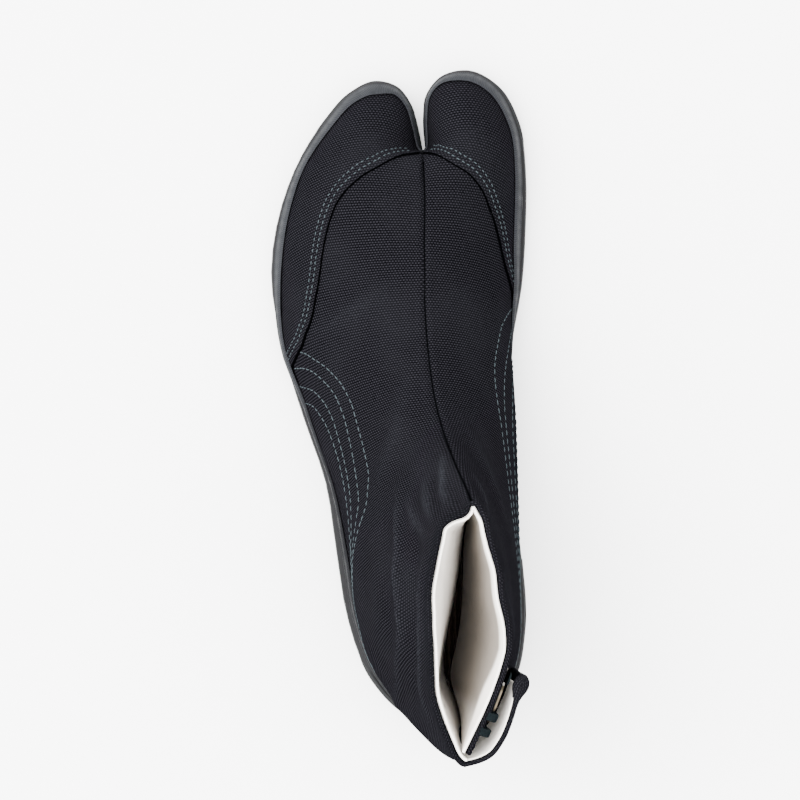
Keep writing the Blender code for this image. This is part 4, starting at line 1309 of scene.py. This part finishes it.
class Band:
    """The line that the rubber band follows round the sole's edge and the root of the toe split."""

    def __init__(self, walls):
        places = np.arange(0, len(EDGE.curve), 2)
        angles = np.linspace(2 * math.pi, math.pi, ROOT_STEPS + 1)[1:-1]
        arc = EDGE.root_arc(0.0, ROOT_STEPS)[::-1][1:-1]
        self.walls = walls
        self.line = np.vstack([EDGE.curve[places], arc])
        self.inward = np.vstack([EDGE.inward[places], np.stack([np.cos(angles), np.sin(angles)], axis=1)])
        self.split = np.concatenate([EDGE.split()[places], np.ones(len(arc))])
        self.thickness = np.concatenate([EDGE.band()[places], np.ones(len(arc))])
        self.foot = sole_height(self.line[:, 1], "top") + GAP
        height = read(BAND_ROWS, "y", "height", self.line[:, 1])
        self.height = height + (SPLIT_HEIGHT - height) * self.split
        self.ragged = RAGGED * np.random.default_rng(5).uniform(-1.0, 1.0, len(height))

    def depth(self, height):
        """How far in the wall stands at a height over the sole's top."""
        level = np.maximum(self.foot + height, feather_height(self.line[:, 1]) + GAP)
        reach = RAY_START * (1 - self.split)
        return wall_distance(self.walls, with_height(self.line, level), self.inward, reach)


def make_foxing(covers):
    """Rubber band round the foot of the upper, with a step half way up and a thin, uneven top edge."""
    graph = bpy.context.evaluated_depsgraph_get()
    band = Band([BVHTree.FromObject(cover, graph) for cover in covers])
    fronts, backs = [], []
    for row in FOXING_ROWS:
        height = band.height * row.level + band.ragged * ramp(row.level, *RAGGED_LEVELS)
        depth = np.min([band.depth(height + look) for look in FOXING_LOOKS], axis=0) - FOXING_GAP
        depth = np.mean([np.roll(depth, shift) for shift in FOXING_SMOOTH], axis=0)
        front = depth - band.thickness * row.thickness
        backs.append(with_height(band.line + band.inward * depth[:, None], band.foot + height))
        fronts.append(with_height(band.line + band.inward * front[:, None], band.foot + height))
    loop = np.array(fronts + backs[::-1] + fronts[:1])
    loop = np.concatenate([loop, loop[:, :1]], axis=1)
    run = lengths_along(np.vstack([band.line, band.line[:1]]))
    levels = values_of(FOXING_ROWS, "level")
    levels = np.array(levels + levels[::-1] + levels[:1])
    cloth = np.stack(np.broadcast_arrays(run[None, :], levels[:, None]), axis=-1)
    grid = Grid(loop, cloth, ramp(loop[..., 1], *GREY_FROM), False)
    return piece("foxing_band", [grid], RUBBER_WELD, foxing_material(), ["foxing"])


# Bumper strips on toes and heel: first and last point of the sole edge, which they run a little past
BUMPERS = {
    "toe_bumper_small": ("cleft_outer_front", "fourth_toe"),
    "heel_bumper": ("outer_heel_corner", "inner_heel_corner"),
    "toe_bumper_big": ("big_toe_side", "cleft_inner_front"),
}
BUMPER = 1.2
BUMPER_PROUD = 0.08
# How many samples of the sole's edge a strip runs past its points, and over how many it tapers
BUMPER_PAST = 9
BUMPER_TAPER = 8.0
# Level to which its ends taper
BUMPER_MIDDLE = 0.65
# Cross-section of a strip: level from the sole's under side (0) to its top (1), and share of its depth
BUMPER_SHAPE = table(
    "level depth",
    (0.25, 1.00),
    (0.25, 0.30),
    (0.33, 0.08),
    (0.45, 0.00),
    (0.82, 0.00),
    (0.95, 0.15),
    (1.00, 0.50),
    (1.00, 2.00),
    (0.25, 1.00),
)


def make_bumper(name, material):
    """One rubber strip along the sole's edge with tapered ends."""
    first, last = BUMPERS[name]
    stops = np.arange(EDGE.names[first] - BUMPER_PAST, EDGE.names[last] + BUMPER_PAST + 1)
    from_end = np.clip(np.minimum(stops - stops[0], stops[-1] - stops) / BUMPER_TAPER, 0.0, 1.0)
    full = np.sqrt(1 - (1 - from_end) ** 2)
    loops = []
    for corner in BUMPER_SHAPE:
        line = EDGE.inset(corner.depth * BUMPER - BUMPER_PROUD)[stops]
        low = sole_height(line[:, 1], "under")
        high = sole_height(line[:, 1], "top")
        level = BUMPER_MIDDLE + (corner.level - BUMPER_MIDDLE) * full
        loops.append(with_height(line, low + (high - low) * level))
    points = np.array(loops)
    grid = Grid(points, points[..., :2], 0.0, False)
    return piece(name + "_strip", [grid], RUBBER_WELD, material, [name])


# Heel block: its side from the floor up, as height and inset from the sole's edge
HEEL_SIDE = table(
    "height inset",
    (0.00, 1.10),
    (0.20, 0.70),
    (0.60, 0.25),
    (1.20, -0.05),
    (2.00, -0.20),
    (5.40, -0.20),
    (5.80, 0.00),
    (6.00, 0.40),
)
# Front of the heel block, on its outer and inner side
BREAST_OUTER = np.array([-21.5, -79.5])
BREAST_INNER = np.array([51.0, -63.0])


def make_heel(material):
    """Block under the outsole with a slanting front and a flat under side."""
    run = BREAST_INNER - BREAST_OUTER
    behind = (EDGE.curve - BREAST_OUTER) @ (-run[1], run[0]) <= 0
    rows = []
    for row in HEEL_SIDE:
        line = EDGE.inset(row.inset)[behind]
        rows.append(with_height(line, np.full(len(line), row.height)))
    side = np.array(rows)
    half = side.shape[1] // 2
    front = side[:, [-1, 0]]
    under = np.array([side[0, ::-1][:half], side[0, :half]])
    grids = [Grid(points, points[..., :2], 0.0, False) for points in (side, front, under)]
    return piece("heel_block", grids, NO_WELD, material, ["heel"])


# Sewing

STITCH_SIDES = 6
# How much stitches differ: in place and length, as shares, and in how far an end sways, in millimetres
STITCH_STRAY = 0.1
STITCH_LENGTHS = (0.92, 1.08)
STITCH_SWAY = 0.12
# Stations along a stitch: share of its length, share of its radius, and how deep it sinks, in radii
STITCH = table(
    "along radius sink",
    (0.00, 0.30, 1.1),
    (0.12, 0.80, 0.5),
    (0.50, 1.00, 0.0),
    (0.88, 0.80, 0.5),
    (1.00, 0.30, 1.1),
)


def stitch_grid(start, end, normal, radius):
    """One stitch as a short thread that dips into the cloth at both ends."""
    run = end - start
    length = np.linalg.norm(run)
    ahead = run / length
    side = unit(np.cross(normal, ahead))
    turns = np.linspace(0.0, 2 * math.pi, STITCH_SIDES + 1)
    rings = []
    cloth = []
    for station in STITCH:
        middle = start + run * station.along - normal * radius * station.sink
        ring = np.outer(np.cos(turns), side) + np.outer(np.sin(turns), normal)
        rings.append(middle + ring * radius * station.radius)
        cloth.append(np.stack([np.full(len(turns), station.along * length), turns * radius], axis=1))
    return Grid(np.array(rings), np.array(cloth), 0.0, False)


def stitches_on_line(points, normals, pitch, share, radius, seed):
    """Stitches along a line on the cloth, each a little out of line with its neighbours."""
    chance = np.random.default_rng(seed)
    length = lengths_along(points)
    count = max(1, int(length[-1] / pitch))
    grids = []
    for number in range(count):
        begin = (number + STITCH_STRAY * chance.uniform(-1, 1)) * pitch
        ends = np.array([begin, begin + share * pitch * chance.uniform(*STITCH_LENGTHS)])
        place = np.stack([np.interp(ends, length, points[:, axis]) for axis in range(3)], axis=1)
        normal = np.array([np.interp(ends.mean(), length, normals[:, axis]) for axis in range(3)])
        normal = unit(normal)
        place[1] += unit(np.cross(normal, place[1] - place[0])) * STITCH_SWAY * chance.uniform(-1, 1)
        grids.append(stitch_grid(place[0], place[1], normal, radius))
    return grids


# Sewn rows beside the guards and down the sides: places over rows and shares of a panel
SEAM_ROWS = table(
    "side line",
    (OUTER, ((8.17, 0.14), (8.33, 0.27), (8.58, 0.375), (9.0, 0.49), (9.42, 0.55), (10.08, 0.59),
             (10.75, 0.625), (11.58, 0.66), (12.2, 0.63), (12.6, 0.50), (12.7, 0.30), (12.6, 0.14))),
    (OUTER, ((8.42, 0.12), (8.58, 0.26), (8.92, 0.385), (9.17, 0.44), (9.67, 0.49), (10.17, 0.51),
             (10.9, 0.535), (11.6, 0.555), (12.1, 0.50), (12.4, 0.38), (12.5, 0.24), (12.45, 0.12))),
    (OUTER, ((8.67, 0.10), (8.92, 0.26), (9.17, 0.335), (9.5, 0.385), (9.92, 0.41), (10.33, 0.43),
             (11.1, 0.445), (11.7, 0.42), (12.1, 0.33), (12.3, 0.20), (12.3, 0.10))),
    (OUTER, ((8.85, 0.05), (9.08, 0.20), (9.42, 0.29), (9.83, 0.34), (10.25, 0.365), (10.8, 0.375),
             (11.4, 0.345), (11.9, 0.26), (12.1, 0.16), (12.15, 0.08))),
    (INNER, ((7.5, 0.06), (7.72, 0.26), (7.95, 0.38), (8.3, 0.475), (8.92, 0.575), (9.42, 0.59),
             (10.0, 0.575), (10.7, 0.55), (11.5, 0.50), (12.1, 0.40), (12.4, 0.26), (12.5, 0.12))),
    (INNER, ((7.75, 0.06), (8.0, 0.22), (8.3, 0.33), (8.83, 0.455), (9.42, 0.51), (9.92, 0.515),
             (10.6, 0.49), (11.3, 0.44), (11.9, 0.34), (12.2, 0.22), (12.3, 0.10))),
    (INNER, ((8.0, 0.05), (8.25, 0.16), (8.6, 0.27), (9.08, 0.36), (9.5, 0.40), (10.1, 0.41),
             (10.8, 0.385), (11.4, 0.33), (11.9, 0.24), (12.15, 0.10))),
    (INNER, ((8.3, 0.05), (8.7, 0.17), (9.0, 0.225), (9.5, 0.28), (10.0, 0.30), (10.7, 0.285),
             (11.3, 0.24), (11.8, 0.16), (12.0, 0.08))),
)
STITCH_RADIUS = 0.24
SEAM_PITCH = 3.1
SEAM_SHARE = 0.76
GUARD_PITCH = 2.35
GUARD_SHARE = 0.62
# Distance of the guards' two sewn rows from their back edge
GUARD_ROWS = (2.5, 4.9)
# How much further they spread near the toe split, and over which shares
SPREAD_AT_SPLIT = 0.8
SPREAD_SHARES = (0.72, 0.95)
SEWN_SHARES = np.linspace(0.02, 0.97, 200)
# Height of the thread's middle over the cloth, and the seeds for the rows beside the guards and the tacks
STITCH_LIFT = 0.1
GUARD_SEED = 20
TACK_SEED = 50
# Step towards the toes, in rows, that gives the direction across a guard's edge
ROW_AHEAD = 0.2


def beside_guard_edge(side, tree, distance):
    """A line on a guard at a distance from its back edge, with its normals."""
    panel = PANELS[side]
    shares = SEWN_SHARES
    rows = guard_edge(side, shares)
    lift = np.full(len(shares), GUARD)
    edge = panel.at(rows, shares, lift)
    toeward = panel.at(rows - ROW_AHEAD, shares, lift) - edge
    run = unit(np.gradient(edge, axis=0))
    toeward = unit(toeward - run * np.sum(toeward * run, axis=1)[:, None])
    points = []
    normals = []
    apart = distance * (1 + SPREAD_AT_SPLIT * ramp(shares, *SPREAD_SHARES))
    for place in metres(edge + toeward * apart[:, None]):
        spot, normal, _, _ = tree.find_nearest(Vector(place))
        points.append(np.array(spot) / MM + (CENTRE_X, 0.0, 0.0))
        normals.append(np.array(normal))
    return np.array(points), np.array(normals)


def make_stitches(guards):
    """All sewn rows as one piece of thread."""
    grids = []
    for seed, row in enumerate(SEAM_ROWS):
        line = curve_through(row.line, 16)
        panel = PANELS[row.side]
        points = panel.at(line[:, 0], line[:, 1], np.full(len(line), STITCH_LIFT))
        normals = panel.pick(panel.normals, line[:, 0], line[:, 1])
        grids += stitches_on_line(points, normals, SEAM_PITCH, SEAM_SHARE, STITCH_RADIUS, seed)
    graph = bpy.context.evaluated_depsgraph_get()
    for side, guard in guards.items():
        tree = BVHTree.FromObject(guard, graph)
        for number, distance in enumerate(GUARD_ROWS):
            points, normals = beside_guard_edge(side, tree, distance)
            points = points + normals * STITCH_LIFT
            seed = GUARD_SEED + number
            grids += stitches_on_line(points, normals, GUARD_PITCH, GUARD_SHARE, STITCH_RADIUS, seed)
    return piece("stitches", grids, NO_WELD, THREAD)


# Thread loops on the inner panel that the clasps hook into, and bar tacks on the flap's corner
LOOP_SHARES = (0.145, 0.207)
LOOP_STRANDS = (-0.0105, -0.0035, 0.0035, 0.0105)
# Loops: how far down they run in rows, how far they stand out and over the hem, and the cord's radius
LOOP_DROP = 0.3
LOOP_OUT = 3.4
LOOP_OVER = 1.3
LOOP_RADIUS = 0.45
# Shapes of a loop: how its rows crowd at the hem, and how quickly it comes down from over the hem
LOOP_CROWD = 1.5
LOOP_FALL = 3
LOOP_POINTS = 15
# Shares to either side of a loop that give the direction along the hem
LOOP_BESIDE = np.array([-0.01, 0.01])
TACK_ROWS = (16.90, 16.84)
TACK_SHARES = np.linspace(0.335, 0.37, 9)
TACK_RADIUS = 0.3
# Step down, in rows, that gives the flap's normals at a tack
TACK_BELOW = 0.01
# Pitch of a tack as a share of its line, and the share of that pitch which is thread
TACK_PITCH = 0.98
TACK_THREAD = 0.97


def tack_grids(row):
    """One straight tack across the flap's corner, on top of its knot."""
    rows = np.array([np.full(len(TACK_SHARES), row), np.full(len(TACK_SHARES), row - TACK_BELOW)])
    middle = flap_middle(rows, np.broadcast_to(TACK_SHARES, rows.shape))
    points = middle[0] + grid_normals(middle)[0] * (FLAP_HALF + KNOT_HEIGHT)
    normals = PANELS[INNER].pick(PANELS[INNER].normals, rows[0], TACK_SHARES)
    pitch = lengths_along(points)[-1] * TACK_PITCH
    return stitches_on_line(points, normals, pitch, TACK_THREAD, TACK_RADIUS, TACK_SEED)


def cord_grid(points, across, radius):
    """Round cord along a line of points, with a direction that lies across it."""
    ahead = unit(np.gradient(points, axis=0))
    side = unit(across - ahead * (ahead @ across)[:, None])
    up = np.cross(ahead, side)
    turns = np.linspace(0.0, 2 * math.pi, STITCH_SIDES + 1)
    ring = np.cos(turns)[None, :, None] * side[:, None] + np.sin(turns)[None, :, None] * up[:, None]
    cloth = np.stack(np.broadcast_arrays(lengths_along(points)[:, None], turns[None, :] * radius), axis=-1)
    return Grid(points[:, None] + ring * radius, cloth, 0.0, False)


def loop_grids(share):
    """Bundle of cords that comes over the hem of the inner panel and back into its face."""
    panel = PANELS[INNER]
    ends = panel.at(np.full(2, float(COLLAR)), share + LOOP_BESIDE)
    down = np.linspace(0.0, 1.0, LOOP_POINTS)
    rows = COLLAR - LOOP_DROP * down ** LOOP_CROWD
    lift = LOOP_OUT * np.sin(math.pi * down) - HEM_RADIUS * (1 - down)
    grids = []
    for shift in LOOP_STRANDS:
        points = panel.at(rows, np.full(len(down), share + shift), lift)
        points[:, 2] += LOOP_OVER * (1 - down) ** LOOP_FALL
        grids.append(cord_grid(points, ends[1] - ends[0], LOOP_RADIUS))
    return grids


def make_loops():
    """Thread loops for the hooks at the inner panel's hem, and the tacks on the flap's corner."""
    grids = []
    for share in LOOP_SHARES:
        grids += loop_grids(share)
    for row in TACK_ROWS:
        grids += tack_grids(row)
    return piece("thread_loops", grids, NO_WELD, LOOP_CORD)


def dress_solids():
    """Gives the solids that stay in view their own materials, and adds the rubber pieces that match them."""
    black = rubber_material("outsole_rubber", 0.45, 0.05)
    strip = rubber_material("bumper_rubber", 0.35, 0.07)
    brass = metal_material()
    materials = {"outsole": black, "insole": insole_material()}
    materials.update({"clasp_1": brass, "clasp_2": brass, "clasp_3": brass})
    for name, material in materials.items():
        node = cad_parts[name]
        node.data.materials.clear()
        node.data.materials.append(material)
    make_heel(black)
    for name in BUMPERS:
        make_bumper(name, strip)


# Camera above and beside the shoe, turned to it, with the photo's focal length in pixels
CAMERA = (51.1, -4.06, 1150.0)
FOCAL_PIXELS = 2833.6
IMAGE_PIXELS = 800
SENSOR = 36.0
LOOK_AT = (2.5, 0.0, 60.0)
FLOOR_HALF = 3.0


def make_camera():
    data = bpy.data.cameras.new("camera")
    data.sensor_width = SENSOR
    data.lens = SENSOR * FOCAL_PIXELS / IMAGE_PIXELS
    obj = new_object("camera", data)
    place = Vector(metres(CAMERA))
    back = (place - Vector(metres(LOOK_AT))).normalized()
    right = Vector((0.0, 1.0, 0.0)).cross(back).normalized()
    up = back.cross(right)
    turned = Matrix((right, up, back)).transposed().to_4x4()
    obj.matrix_world = Matrix.Translation(place) @ turned
    bpy.context.scene.camera = obj


def make_stage():
    mesh = bpy.data.meshes.new("floor")
    bm = bmesh.new()
    bmesh.ops.create_grid(bm, x_segments=1, y_segments=1, size=FLOOR_HALF)
    bm.to_mesh(mesh)
    bm.free()
    mesh.materials.append(floor_material())
    floor = new_object("floor", mesh)
    floor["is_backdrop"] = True


# Soft boxes: place and size in metres, and power in watts
SOFT_BOXES = table(
    "name x y z size power",
    ("key", -0.8, 0.4, 1.7, 1.6, 70.0),
    ("fill", 0.9, -0.3, 1.6, 1.6, 20.0),
)
SKY = 10.0
# Share of the sky's light at the horizon, and how much it grows upwards and falls to the inner side
SKY_LOW = 0.12
SKY_RISE = 1.0
SKY_SLANT = -0.35


def make_lights():
    """Soft boxes that look at the shoe."""
    for box in SOFT_BOXES:
        data = bpy.data.lights.new(box.name, "AREA")
        data.shape = "DISK"
        data.size = box.size
        data.energy = box.power
        obj = new_object(box.name, data)
        obj.location = (box.x, box.y, box.z)
        obj.rotation_euler = (-obj.location).to_track_quat("-Z", "Y").to_euler()


def make_sky():
    """Soft sky, brightest overhead and on the outer side of the shoe."""
    g = Graph("studio", "worlds", "Background")
    ray = g.add("ShaderNodeTexCoord", {}).outputs["Generated"]
    slope = (SKY_SLANT, 0.0, SKY_RISE)
    up = g.add("ShaderNodeVectorMath", {0: ray, 1: slope}, operation="DOT_PRODUCT").outputs["Value"]
    levels = {"Value": up, "To Min": SKY * SKY_LOW, "To Max": SKY * (1.0 + SKY_LOW)}
    strength = g.add("ShaderNodeMapRange", levels).outputs["Result"]
    bpy.context.scene.world = g.shade(Color=(1.0, 1.0, 1.0, 1.0), Strength=strength)


def main():
    make_camera()
    make_stage()
    make_lights()
    make_sky()
    upper = make_upper()
    guards = {
        OUTER: make_guard("guard_outer", OUTER, "toe_guard_outer"),
        INNER: make_guard("guard_inner", INNER, "toe_guard_inner"),
    }
    make_foxing([upper, *guards.values()])
    make_lining()
    make_flap()
    make_stitches(guards)
    make_loops()
    dress_solids()


main()
boxes = {"cad": cad_box, "visual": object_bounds()}
{name: [list(corner) for corner in box] for name, box in boxes.items()}
